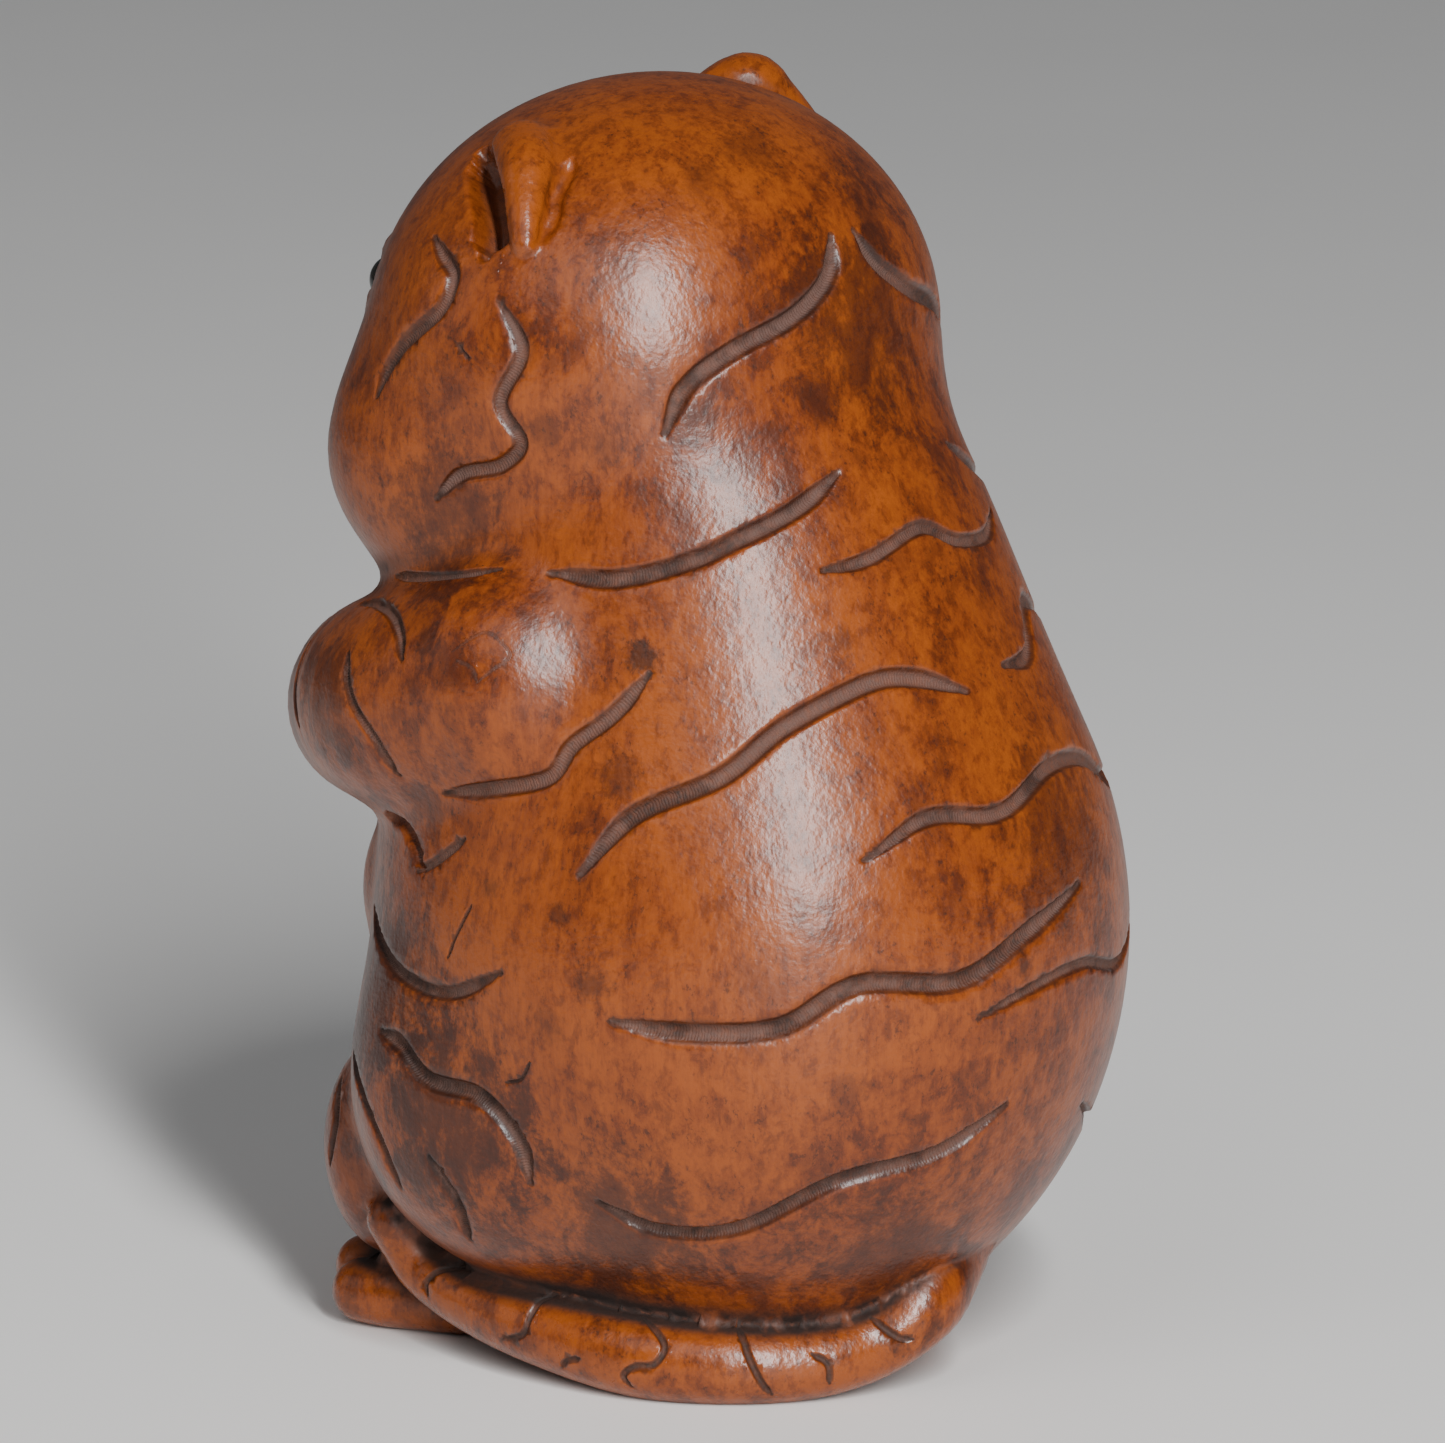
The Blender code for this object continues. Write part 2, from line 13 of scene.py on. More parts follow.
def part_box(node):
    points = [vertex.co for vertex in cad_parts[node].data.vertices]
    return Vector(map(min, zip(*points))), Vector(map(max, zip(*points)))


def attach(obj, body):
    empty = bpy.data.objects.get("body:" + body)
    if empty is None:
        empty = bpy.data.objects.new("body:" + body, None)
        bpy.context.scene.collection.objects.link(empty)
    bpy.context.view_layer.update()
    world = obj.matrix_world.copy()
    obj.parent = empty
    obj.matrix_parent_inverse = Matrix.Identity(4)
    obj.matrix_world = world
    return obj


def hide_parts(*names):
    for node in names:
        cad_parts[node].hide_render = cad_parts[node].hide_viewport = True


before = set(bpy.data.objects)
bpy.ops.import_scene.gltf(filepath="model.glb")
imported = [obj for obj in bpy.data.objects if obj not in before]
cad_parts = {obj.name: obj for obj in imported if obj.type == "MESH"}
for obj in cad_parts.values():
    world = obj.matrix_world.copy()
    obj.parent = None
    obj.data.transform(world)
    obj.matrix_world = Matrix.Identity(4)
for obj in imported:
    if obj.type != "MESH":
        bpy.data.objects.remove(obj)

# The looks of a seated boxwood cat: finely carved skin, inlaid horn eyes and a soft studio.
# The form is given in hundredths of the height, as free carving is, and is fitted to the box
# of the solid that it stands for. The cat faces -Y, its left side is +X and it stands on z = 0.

LOG = logging.getLogger("boxwood_cat")

Point = tuple[float, float, float]
Station = tuple[float, float, float, float]
Place = tuple[float, float]


class Side(Enum):
    """Which side of the cat a paired form is on."""

    LEFT = 1
    RIGHT = -1


@dataclass(frozen=True)
class Mass:
    """A smooth egg-shaped mass of the body.

    Attributes:
        name: What the mass is.
        centre: Its middle, in hundredths of the height.
        size: Its half sizes along X, Y and Z.
        blend: How wide the fillet to its neighbours is.
        paired: Whether the other side has the same mass.
    """

    name: str
    centre: Point
    size: Point
    blend: float
    paired: bool = False


@dataclass(frozen=True)
class Run:
    """A tapered round limb through stations of a place and a radius.

    Attributes:
        name: What the limb is.
        stations: The places with a radius each.
        blend: How wide the fillet to its neighbours is.
        paired: Whether the other side has the same limb.
    """

    name: str
    stations: tuple[Station, ...]
    blend: float
    paired: bool = False


@dataclass(frozen=True)
class Stripe:
    """A carved groove over the skin.

    Attributes:
        name: Where on the cat it is.
        width: Its full width at the middle.
        places: Bearings about the upright axis (0 left, 90 back, -90 front) with heights.
        paired: Whether the other side has the same groove.
        depth_share: Its depth as a share of its width.
        raw: How much of its floor is left unpolished and grey.
    """

    name: str
    width: float
    places: tuple[Place, ...]
    paired: bool = False
    depth_share: float = 0.4
    raw: float = 1.0


@dataclass(frozen=True)
class TailMark:
    """A carved line on the tail.

    Attributes:
        name: What it is.
        width: Its full width at the middle.
        places: Shares of the tail's run with angles about it (0 outer side, 90 top).
        depth_share: Its depth as a share of its width.
        raw: How much of its floor is left unpolished and grey.
    """

    name: str
    width: float
    places: tuple[Place, ...]
    depth_share: float = 0.4
    raw: float = 1.0


@dataclass(frozen=True)
class Socket:
    """A round socket for an eye.

    Attributes:
        centre: The bead's middle.
        radius: The socket's radius.
        facing: The way that it opens, as a unit vector.
    """

    centre: np.ndarray
    radius: float
    facing: np.ndarray


def smooth_curve(stations: tuple[tuple[float, ...], ...], steps: int) -> np.ndarray:
    """Puts more stations between the given ones, on a Catmull-Rom curve.

    Args:
        stations: Rows of numbers, interpolated column by column.
        steps: How many steps each stretch gets.

    Returns:
        The rows of the smooth curve.
    """
    fixed = np.array(stations, dtype=float)
    ends = np.vstack([2 * fixed[0] - fixed[1], fixed, 2 * fixed[-1] - fixed[-2]])
    rows = []
    for a, b, c, d in zip(ends, ends[1:], ends[2:], ends[3:]):
        for step in range(steps):
            t = step / steps
            bend = (2 * a - 5 * b + 4 * c - d) * t * t + (3 * b - a - 3 * c + d) * t**3
            rows.append(0.5 * (2 * b + (c - a) * t + bend))
    rows.append(fixed[-1])
    return np.array(rows)


@dataclass
class CatForm:
    """The uncarved cat as rounded masses that melt into each other.

    Attributes:
        masses: The egg-shaped masses.
        runs: The arms, feet, toes, ears and tail.
        axis_y: Where the upright axis of all bearings stands.
        margin: How far outside a mass or a run it is still measured.
        curve_steps: Steps in each stretch of a run.
        least_rise: The least squared slope that a correction counts with.
        longest_move: The longest single correction.
        ray_reach: How far from the axis the search for the skin starts.
        ray_steps: How many steps that search takes.
        ray_pace: The share of the distance that each step goes.
        balls: Centre, half sizes and blend of every mass.
        tubes: Smooth stations and blend of every run.
    """

    masses: tuple[Mass, ...] = (
        Mass("belly", (0.0, 5.8, 32.6), (28.4, 28.8, 32.4), 0.0),
        Mass("base", (0.0, 5.0, 9.0), (17.4, 17.6, 12.6), 3.0),
        Mass("chest", (0.0, 1.0, 55.0), (23.0, 23.8, 26.0), 7.0),
        Mass("head", (0.0, -3.4, 77.0), (23.4, 20.4, 19.6), 5.0),
        Mass("cheek", (11.5, -11.0, 69.0), (11.5, 11.5, 11.0), 4.0, True),
        Mass("thigh", (14.0, -4.0, 21.0), (13.4, 14.0, 14.0), 5.0, True),
        Mass("muzzle", (3.6, -22.2, 70.2), (6.2, 5.6, 4.8), 2.6, True),
        Mass("chin", (0.0, -21.6, 65.2), (6.4, 4.6, 4.2), 2.6),
        Mass("nose bridge", (0.0, -22.2, 76.4), (3.2, 4.0, 5.4), 3.0),
        Mass("nose", (0.0, -26.6, 74.2), (2.6, 1.7, 1.5), 0.8),
        Mass("eyelid", (10.4, -18.4, 80.6), (3.4, 3.2, 3.0), 1.6, True),
        Mass("knee", (14.0, -17.2, 14.6), (5.9, 5.8, 8.8), 2.0, True),
        Mass("lap", (0.0, -12.0, 9.0), (14.0, 11.0, 10.0), 3.0),
        Mass("paw fold", (13.4, -16.8, 34.6), (3.4, 3.4, 6.2), 1.0, True),
    )
    runs: tuple[Run, ...] = (
        Run("arm", ((19.0, -1.0, 54.0, 9.6), (18.6, -10.0, 51.0, 8.8), (15.2, -16.6, 49.5, 7.9),
                    (10.0, -22.6, 47.0, 6.4), (4.8, -26.6, 44.6, 5.2)), 2.2, True),
        Run("foot", ((12.4, -12.0, 2.7, 2.7), (14.3, -17.6, 2.7, 2.7), (14.8, -20.2, 2.6, 2.5)),
            0.6, True),
        Run("inner toe", ((12.0, -14.0, 3.2, 2.6), (11.4, -22.8, 3.4, 2.4)), 0.6, True),
        Run("small toe", ((9.4, -14.0, 3.0, 2.6), (8.2, -22.6, 3.0, 2.3)), 0.6, True),
        Run("left ear", ((13.4, -5.1, 92.2, 2.6), (15.6, -3.0, 91.6, 2.25),
                         (17.3, -1.7, 90.1, 1.8), (18.7, -0.7, 88.5, 1.45),
                         (19.8, 0.2, 86.9, 1.1)), 0.4),
        Run("right ear", ((-11.0, -7.6, 92.3, 2.2), (-13.6, -5.4, 93.8, 2.6),
                          (-15.0, -4.2, 92.5, 2.35), (-17.2, -2.2, 89.3, 1.9),
                          (-19.2, -0.4, 87.0, 1.2)), 0.4),
        Run("tail", ((-5.0, 19.5, 12.5, 5.5), (-0.5, 22.4, 8.6, 4.1), (2.8, 24.0, 6.3, 3.1),
                     (6.2, 22.2, 3.8, 2.75), (10.5, 19.4, 2.8, 2.85), (14.9, 14.9, 2.8, 3.05),
                     (17.7, 8.7, 3.1, 3.2), (18.6, 0.6, 4.0, 2.95), (17.9, -6.4, 4.7, 2.55),
                     (17.3, -11.6, 6.1, 2.25), (17.9, -13.2, 8.2, 2.15),
                     (18.9, -13.8, 10.2, 2.1)), 0.3),
    )
    axis_y: float = 3.0
    margin: float = 5.0
    curve_steps: int = 4
    least_rise: float = 0.25
    longest_move: float = 1.5
    ray_reach: float = 44.0
    ray_steps: int = 40
    ray_pace: float = 0.8
    balls: list[tuple[np.ndarray, np.ndarray, float]] = field(init=False)
    tubes: list[tuple[np.ndarray, float]] = field(init=False)

    def __post_init__(self) -> None:
        """Works out the paired masses and the smooth runs once."""
        self.balls = list(self._all_balls())
        self.tubes = list(self._all_tubes())

    def _all_balls(self) -> Iterator[tuple[np.ndarray, np.ndarray, float]]:
        """Works out every mass, those of both sides too.

        Returns:
            An iterator over centre, half sizes and blend.
        """
        for mass in self.masses:
            for side in Side if mass.paired else (Side.LEFT,):
                centre = np.array(mass.centre) * (side.value, 1, 1)
                yield centre, np.array(mass.size), mass.blend

    def _all_tubes(self) -> Iterator[tuple[np.ndarray, float]]:
        """Works out every run, those of both sides too.

        Returns:
            An iterator over smooth stations and blend.
        """
        for run in self.runs:
            for side in Side if run.paired else (Side.LEFT,):
                rows = smooth_curve(run.stations, self.curve_steps)
                rows[:, 0] *= side.value
                yield rows, run.blend

    def tail_places(self, shares: np.ndarray, angles: np.ndarray) -> np.ndarray:
        """Finds places on the tail's side.

        Args:
            shares: How far along the tail's run each place is, from 0 to 1.
            angles: Degrees about the tail, 0 at its outer side and 90 at its top.

        Returns:
            Rows of X, Y and Z on the skin.
        """
        named = next(run for run in self.runs if run.name == "tail")
        rows = smooth_curve(named.stations, self.curve_steps)
        steps = np.arange(len(rows))
        at = shares * steps[-1]
        middle, ahead, behind = (
            np.stack([np.interp(at + move, steps, column) for column in rows.T], axis=1)
            for move in (0.0, 0.5, -0.5)
        )
        along = ahead[:, :3] - behind[:, :3]
        outward = np.stack([-along[:, 1], along[:, 0], np.zeros(len(at))], axis=1)
        outward = outward / np.linalg.norm(outward, axis=1)[:, None]
        away = np.sum(outward * (middle[:, :3] - (0.0, self.axis_y, 0.0)), axis=1)
        outward = outward * np.sign(away)[:, None]
        angle = np.radians(angles)[:, None]
        around = np.cos(angle) * outward + np.sin(angle) * (0.0, 0.0, 1.0)
        return self.onto_skin(middle[:, :3] + middle[:, 3:4] * around, 4)

    def distance(self, points: np.ndarray) -> np.ndarray:
        """Measures about how far points are outside the uncarved cat.

        Args:
            points: Rows of X, Y and Z in hundredths of the height.

        Returns:
            One distance for each point, negative inside.
        """
        found = np.full(len(points), np.inf)
        for centre, size, blend in self.balls:
            if blend <= 0:
                found = np.minimum(found, egg(points, centre, size))
                continue
            close = np.all(np.abs(points - centre) < size + blend + self.margin, axis=1)
            found[close] = blended(found[close], egg(points[close], centre, size), blend)
        for rows, blend in self.tubes:
            reach = rows[:, 3:4] + self.margin
            low = (rows[:, :3] - reach).min(axis=0)
            high = (rows[:, :3] + reach).max(axis=0)
            close = np.all((points > low) & (points < high), axis=1)
            found[close] = blended(found[close], tube(points[close], rows), blend)
        return found

    def slope(self, points: np.ndarray, step: float = 0.05) -> tuple[np.ndarray, np.ndarray]:
        """Measures the distance and the way that it grows.

        Args:
            points: Rows of X, Y and Z.
            step: How far the three test moves go.

        Returns:
            The distances, and rows that point straight out of the form.
        """
        here = self.distance(points)
        rise = np.empty_like(points)
        for axis in range(3):
            moved = points.copy()
            moved[:, axis] += step
            rise[:, axis] = (self.distance(moved) - here) / step
        return here, rise

    def onto_skin(self, points: np.ndarray, rounds: int) -> np.ndarray:
        """Moves points onto the uncarved skin.

        Args:
            points: Rows of X, Y and Z near the skin.
            rounds: How many corrections are made.

        Returns:
            The moved points.
        """
        for _ in range(rounds):
            here, rise = self.slope(points)
            steep = np.maximum(np.sum(rise * rise, axis=1), self.least_rise)
            move = np.clip(here / steep, -self.longest_move, self.longest_move)
            points = points - rise * move[:, None]
        return points

    def skin_places(self, bearings: np.ndarray, heights: np.ndarray) -> np.ndarray:
        """Finds where level lines from the upright axis leave the skin.

        Args:
            bearings: Degrees about the axis, 0 at the cat's left and 90 at its back.
            heights: Hundredths of the height.

        Returns:
            Rows of X, Y and Z on the skin.
        """
        angle = np.radians(bearings)
        outward = np.stack([np.cos(angle), np.sin(angle), np.zeros_like(angle)], axis=1)
        start = np.stack([np.zeros_like(angle), np.full_like(angle, self.axis_y), heights], axis=1)
        reach = np.full(len(angle), self.ray_reach)
        for _ in range(self.ray_steps):
            reach = reach - self.ray_pace * self.distance(start + reach[:, None] * outward)
        return start + reach[:, None] * outward


def blended(a: np.ndarray, b: np.ndarray, width: float) -> np.ndarray:
    """Joins two distance fields, rounded over a width where they meet.

    Args:
        a: The first field's values.
        b: The second field's values.
        width: How wide the fillet is.

    Returns:
        The joined field's values.
    """
    closeness = np.maximum(width - np.abs(a - b), 0.0) / width
    return np.minimum(a, b) - closeness * closeness * width * 0.25


def egg(points: np.ndarray, centre: np.ndarray, size: np.ndarray) -> np.ndarray:
    """Measures about how far points are outside an egg.

    Args:
        points: Rows of X, Y and Z.
        centre: The egg's middle.
        size: Its half sizes.

    Returns:
        One distance for each point.
    """
    local = points - centre
    reach = np.sqrt(np.sum(np.square(local / size), axis=1))
    rise = np.sqrt(np.sum(np.square(local / np.square(size)), axis=1))
    return reach * (reach - 1.0) / np.maximum(rise, 1e-9)


def tube(points: np.ndarray, rows: np.ndarray) -> np.ndarray:
    """Measures how far points are outside a tapered tube.

    Args:
        points: Rows of X, Y and Z.
        rows: The tube's stations, each a place and a radius.

    Returns:
        One distance for each point.
    """
    nearest = np.full(len(points), np.inf)
    for start, end in zip(rows, rows[1:]):
        along = end[:3] - start[:3]
        offset = points - start[:3]
        share = np.clip(offset @ along / (along @ along), 0.0, 1.0)
        gap = np.sqrt(np.sum(np.square(offset - share[:, None] * along), axis=1))
        nearest = np.minimum(nearest, gap - start[3] - (end[3] - start[3]) * share)
    return nearest


@dataclass
class GrooveLine:
    """The middle of a groove on the skin.

    Attributes:
        points: Its places as rows.
        half_widths: Half its width at each point.
        depth_share: Its depth as a share of its width.
        raw: How much of its floor is left unpolished and grey.
    """

    points: np.ndarray
    half_widths: np.ndarray
    depth_share: float
    raw: float


@dataclass
class Carving:
    """Every groove that the carver cut into the skin.

    Attributes:
        stripes: The grooves, cracks, scars, folds and ear hollows of the body and the head.
        tail_marks: The rings and the crease of the tail.
        floor_share: The share of a groove's width that is its flat floor.
        taper_share: The share of a groove's length that tapers, at each end.
        end_share: The squared share of the width that is left at the very end.
        steps: Steps in each stretch of a groove.
    """

    stripes: tuple[Stripe, ...] = (
        Stripe("temple", 1.6, ((-31, 86.4), (-26.4, 85.5), (-21.6, 84.5), (-20.5, 83),
                               (-22, 81.5), (-26, 80), (-30, 78.5), (-33, 76.5), (-34, 74.5)), True),
        Stripe("cheek", 1.5, ((-9, 83), (-3, 79.5), (-7, 75.5), (-4, 72.5), (-9, 70.5),
                              (-17, 69.5), (-22, 67.5)), True),
        Stripe("crown", 1.9, ((83, 86.5), (77, 84), (61, 81.5), (42, 79.5), (30, 77),
                              (25, 73.5)), True),
        Stripe("nape", 1.8, ((67, 70), (56, 68), (42, 66), (32, 64.5), (17, 63), (3, 63)), True),
        Stripe("spine top", 1.4, ((59, 63.5), (70, 64), (86, 65.5), (97, 64), (111, 63.5),
                                  (121, 64.5))),
        Stripe("shoulder left", 1.9, ((16, 42), (24, 46.5), (38, 49.5), (49, 53), (64, 55.5),
                                      (74, 55.5), (84, 54))),
        Stripe("shoulder right", 1.7, ((96, 55), (107, 55), (117, 58), (131, 56), (147, 52),
                                       (162, 47))),
        Stripe("spine middle", 1.7, ((59, 43.5), (70, 46), (83, 45.5), (97, 47.5), (110, 47),
                                     (124, 44), (142, 45), (156, 41))),
        Stripe("flank left", 2.0, ((22, 31.5), (33, 31), (46, 31.5), (57, 34.5), (72, 34),
                                   (84, 36.5), (97, 39))),
        Stripe("flank right", 1.2, ((75, 31), (86, 32.5), (97, 33), (110, 31.5), (124, 33.5),
                                    (140, 36), (158, 31.5))),
        Stripe("haunch left", 1.8, ((17, 16.5), (27, 14.5), (41, 15), (56, 19), (71, 20.5),
                                    (82, 23.5))),
        Stripe("haunch right", 1.7, ((104, 21), (118, 18), (134, 18.5), (148, 15), (161, 16.5))),
        Stripe("armpit", 1.6, ((25, 56.5), (19, 53.5), (12, 51), (8, 48.5), (-3, 47),
                               (-13, 46)), True),
        Stripe("thigh top", 1.4, ((-42, 34.5), (-33, 33), (-20, 31.5), (-8, 31.5), (3, 34)), True),
        Stripe("thigh side", 1.8, ((-25, 27), (-19, 26.5), (-12, 24.5), (-2, 24), (4, 21),
                                   (5, 17.5)), True),
        Stripe("heel", 1.1, ((-13, 18.5), (-10, 15), (-12, 11.5)), True),
        Stripe("neck", 1.0, ((-36, 60.5), (-23, 61.5), (-7, 63)), True),
        Stripe("sleeve", 1.3, ((-42, 58), (-34, 58.8), (-25.5, 58.8), (-20, 57.8), (-17, 56.2)), True),
        Stripe("forearm", 1.1, ((-30, 55.5), (-27, 53), (-22, 50), (-20, 47)), True),
        Stripe("wrist", 1.0, ((-48, 54.5), (-46, 51.5), (-44, 48.5)), True),
        Stripe("shin", 1.2, ((-36, 24), (-29, 21.5), (-24, 18.5), (-22, 15)), True),
        Stripe("shin front", 1.0, ((-52, 20), (-49, 17), (-50, 13.5)), True),
        Stripe("elbow fold", 1.0, ((-8, 43), (-14, 41), (-20, 39.5)), True),
        Stripe("brow middle", 1.6, ((-90, 94), (-91, 90), (-89, 86))),
        Stripe("brow side", 1.6, ((-74, 94), (-70, 91), (-75, 87.5)), True),
        Stripe("lip parting", 0.9, ((-90, 72.5), (-90, 70), (-90, 68))),
        Stripe("smile", 0.9, ((-90, 68), (-84, 66.8), (-76, 67.5), (-69, 70)), True),
        Stripe("whisker high", 0.8, ((-70, 72), (-62, 73.5), (-54, 73)), True),
        Stripe("whisker low", 0.8, ((-68, 69), (-60, 68.5), (-53, 66.5)), True),
        Stripe("finger inner", 0.8, ((-84, 47), (-84.5, 44.5), (-85, 41.5)), True),
        Stripe("finger middle", 0.8, ((-80, 47.5), (-80.5, 44.5), (-81, 41)), True),
        Stripe("finger outer", 0.8, ((-76, 48), (-76.5, 45), (-77, 41.5)), True),
        Stripe("belly left", 1.4, ((-62, 30), (-70, 28), (-79, 28.5), (-86, 26.5))),
        Stripe("belly right", 1.4, ((-95, 31), (-103, 32.5), (-112, 30.5), (-119, 31.5))),
        Stripe("crack under arm", 0.35, ((-4, 38.5), (-7, 36), (-9, 34)), depth_share=0.6),
        Stripe("crack at thigh", 0.35, ((8, 27.5), (6, 26), (3, 25.5)), depth_share=0.6),
        Stripe("crack on cheek", 0.35, ((-16, 79.5), (-13, 78.5)), depth_share=0.6),
        Stripe("scar outside", 0.35, ((-7, 57.5), (-3, 59), (0, 58.5), (2, 57.5), (0, 56.5),
                                      (-2, 55.5)), depth_share=0.1, raw=0.5),
        Stripe("scar inside", 0.35, ((-6, 57), (-3, 56.5), (-2, 55.5)), depth_share=0.1,
               raw=0.5),
        Stripe("fold under arm", 1.4, ((-18, 39.5), (-23, 41.5), (-28, 42.5), (-33, 42.5)), True,
               0.5, 0.4),
        Stripe("left ear back", 1.7, ((-13, 92.5), (-10, 91.5), (-8, 90), (-6, 89), (-5, 87)),
               depth_share=0.32, raw=0.0),
        Stripe("right ear back", 1.7, ((193, 93.5), (190, 92.5), (188, 90.5), (186, 89.5),
                                       (185, 87.5)), depth_share=0.32, raw=0.0),
        Stripe("left ear hollow", 3.8, ((-42, 92), (-35, 91.4), (-26, 90), (-20, 88.6),
                                        (-17, 87.2), (-16, 86)), depth_share=0.7, raw=0.4),
        Stripe("right ear hollow", 3.8, ((222, 93), (215, 92), (206, 90), (200, 88.6),
                                         (197, 87.2), (196, 86)), depth_share=0.7, raw=0.4),
    )
    tail_marks: tuple[TailMark, ...] = (
        TailMark("ring 1", 0.7, ((0.735, 80), (0.765, 45), (0.78, 12), (0.775, -10))),
        TailMark("ring 2", 0.7, ((0.62, 80), (0.627, 63), (0.63, 32), (0.635, 2), (0.658, -16))),
        TailMark("ring 3", 0.7, ((0.579, -5), (0.591, -14), (0.598, -29))),
        TailMark("ring 4", 0.7, ((0.536, 80), (0.515, 52), (0.507, 31), (0.515, 8),
                                 (0.531, 2), (0.542, -15), (0.536, -32))),
        TailMark("ring 5", 0.7, ((0.44, 78), (0.435, 52), (0.43, 24), (0.419, -13),
                                 (0.409, -34))),
        TailMark("ring 6", 0.7, ((0.368, 28), (0.351, 9), (0.348, -25))),
        TailMark("ring 7", 0.7, ((0.285, 62), (0.269, 33), (0.246, 6), (0.227, -7))),
        TailMark("crease", 1.1, ((0.17, 104), (0.44, 104), (0.7, 104), (0.97, 104)),
                 0.06, 0.5),
    )
    floor_share: float = 0.28
    taper_share: float = 0.14
    end_share: float = 0.16
    steps: int = 14

    def half_widths(self, count: int, width: float) -> np.ndarray:
        """Draws a groove's half width in at both ends.

        Args:
            count: How many points the groove's line has.
            width: The full width at the middle.

        Returns:
            Half the width at each point.
        """
        share = np.linspace(0.0, 1.0, count)
        end_gap = np.minimum(share, 1.0 - share) / self.taper_share
        return 0.5 * width * np.sqrt(np.clip(end_gap, self.end_share, 1.0))

    def skin_lines(self, form: CatForm) -> Iterator[GrooveLine]:
        """Lays each stripe on the skin.

        Args:
            form: The uncarved cat.

        Returns:
            An iterator over the lines.
        """
        paths = []
        for stripe in self.stripes:
            path = smooth_curve(stripe.places, self.steps)
            paths.append((path, stripe))
            if stripe.paired:
                paths.append((np.array([180.0, 0.0]) + path * (-1.0, 1.0), stripe))
        every = np.vstack([path for path, _ in paths])
        points = form.skin_places(every[:, 0], every[:, 1])
        first = 0
        for path, stripe in paths:
            last = first + len(path)
            halves = self.half_widths(len(path), stripe.width)
            yield GrooveLine(points[first:last], halves, stripe.depth_share, stripe.raw)
            first = last

    def tail_lines(self, form: CatForm) -> Iterator[GrooveLine]:
        """Lays each mark on the tail.

        Args:
            form: The uncarved cat.

        Returns:
            An iterator over the lines.
        """
        for mark in self.tail_marks:
            path = smooth_curve(mark.places, self.steps)
            points = form.tail_places(path[:, 0], path[:, 1])
            halves = self.half_widths(len(path), mark.width)
            yield GrooveLine(points, halves, mark.depth_share, mark.raw)

    def lines(self, form: CatForm) -> list[GrooveLine]:
        """Returns every groove's line on the skin of the uncarved cat."""
        return [*self.skin_lines(form), *self.tail_lines(form)]

    def wires(self, lines: list[GrooveLine]) -> bpy.types.Object:
        """Makes one object of wires along the grooves, with half widths and run lengths.

        Args:
            lines: The grooves' lines.

        Returns:
            The object of wires, not linked to any collection.
        """
        mesh = bpy.data.meshes.new("groove_wires")
        points = np.vstack([line.points for line in lines])
        edges: list[tuple[int, int]] = []
        runs: list[np.ndarray] = []
        first = 0
        for line in lines:
            count = len(line.points)
            edges += [(first + i, first + i + 1) for i in range(count - 1)]
            steps = np.linalg.norm(np.diff(line.points, axis=0), axis=1)
            runs.append(np.concatenate([[0.0], np.cumsum(steps)]))
            first += count
        mesh.from_pydata([tuple(row) for row in points], edges, [])
        counts = [len(line.points) for line in lines]
        store_numbers(mesh, "half_width", np.concatenate([line.half_widths for line in lines]))
        store_numbers(mesh, "run_length", np.concatenate(runs))
        store_numbers(mesh, "depth_share", np.repeat([line.depth_share for line in lines], counts))
        store_numbers(mesh, "raw", np.repeat([line.raw for line in lines], counts))
        ahead = np.vstack([np.gradient(line.points, axis=0) for line in lines])
        ahead = ahead / np.maximum(np.linalg.norm(ahead, axis=1), 1e-9)[:, None]
        for name, rows in (("place", points), ("ahead", ahead)):
            stored = mesh.attributes.new(name, "FLOAT_VECTOR", "POINT")
            stored.data.foreach_set("vector", rows.ravel())
        return bpy.data.objects.new("groove_wires", mesh)


class TreeBench:
    """Adds nodes to a tree, one method for every kind."""

    def __init__(self, tree: bpy.types.NodeTree) -> None:
        """Keeps the tree that nodes are added to."""
        self.tree = tree

    def node(self, kind: str, settings: dict[str, object] | None = None,
             sockets: dict[str, object] | None = None) -> bpy.types.Node:
        """Adds a node.

        Args:
            kind: The node's type.
            settings: Its own settings, which are set first.
            sockets: Values or links by input identifier.

        Returns:
            The new node.
        """
        made = self.tree.nodes.new(kind)
        for name, value in (settings or {}).items():
            setattr(made, name, value)
        for name, value in (sockets or {}).items():
            target = next(s for s in made.inputs if s.identifier == name)
            self.feed(target, value)
        return made

    def feed(self, target: bpy.types.NodeSocket, value: object) -> None:
        """Links or sets one input.

        Args:
            target: The input.
            value: A Value, a socket, a number or a tuple.
        """
        if isinstance(value, Value):
            self.tree.links.new(value.socket, target)
        elif isinstance(value, bpy.types.NodeSocket):
            self.tree.links.new(value, target)
        else:
            target.default_value = value


def operator_method(operation: str, swapped: bool = False) -> Callable[["Value", object], "Value"]:
    """Makes the method behind one arithmetic operator.

    Args:
        operation: The Math node's operation.
        swapped: Whether the value is the second operand, as in 1 - mask.

    Returns:
        The method.
    """

    def method(self: "Value", other: object) -> "Value":
        """Returns the operator's result."""
        return join_values(self.bench, operation, (other, self) if swapped else (self, other))

    return method


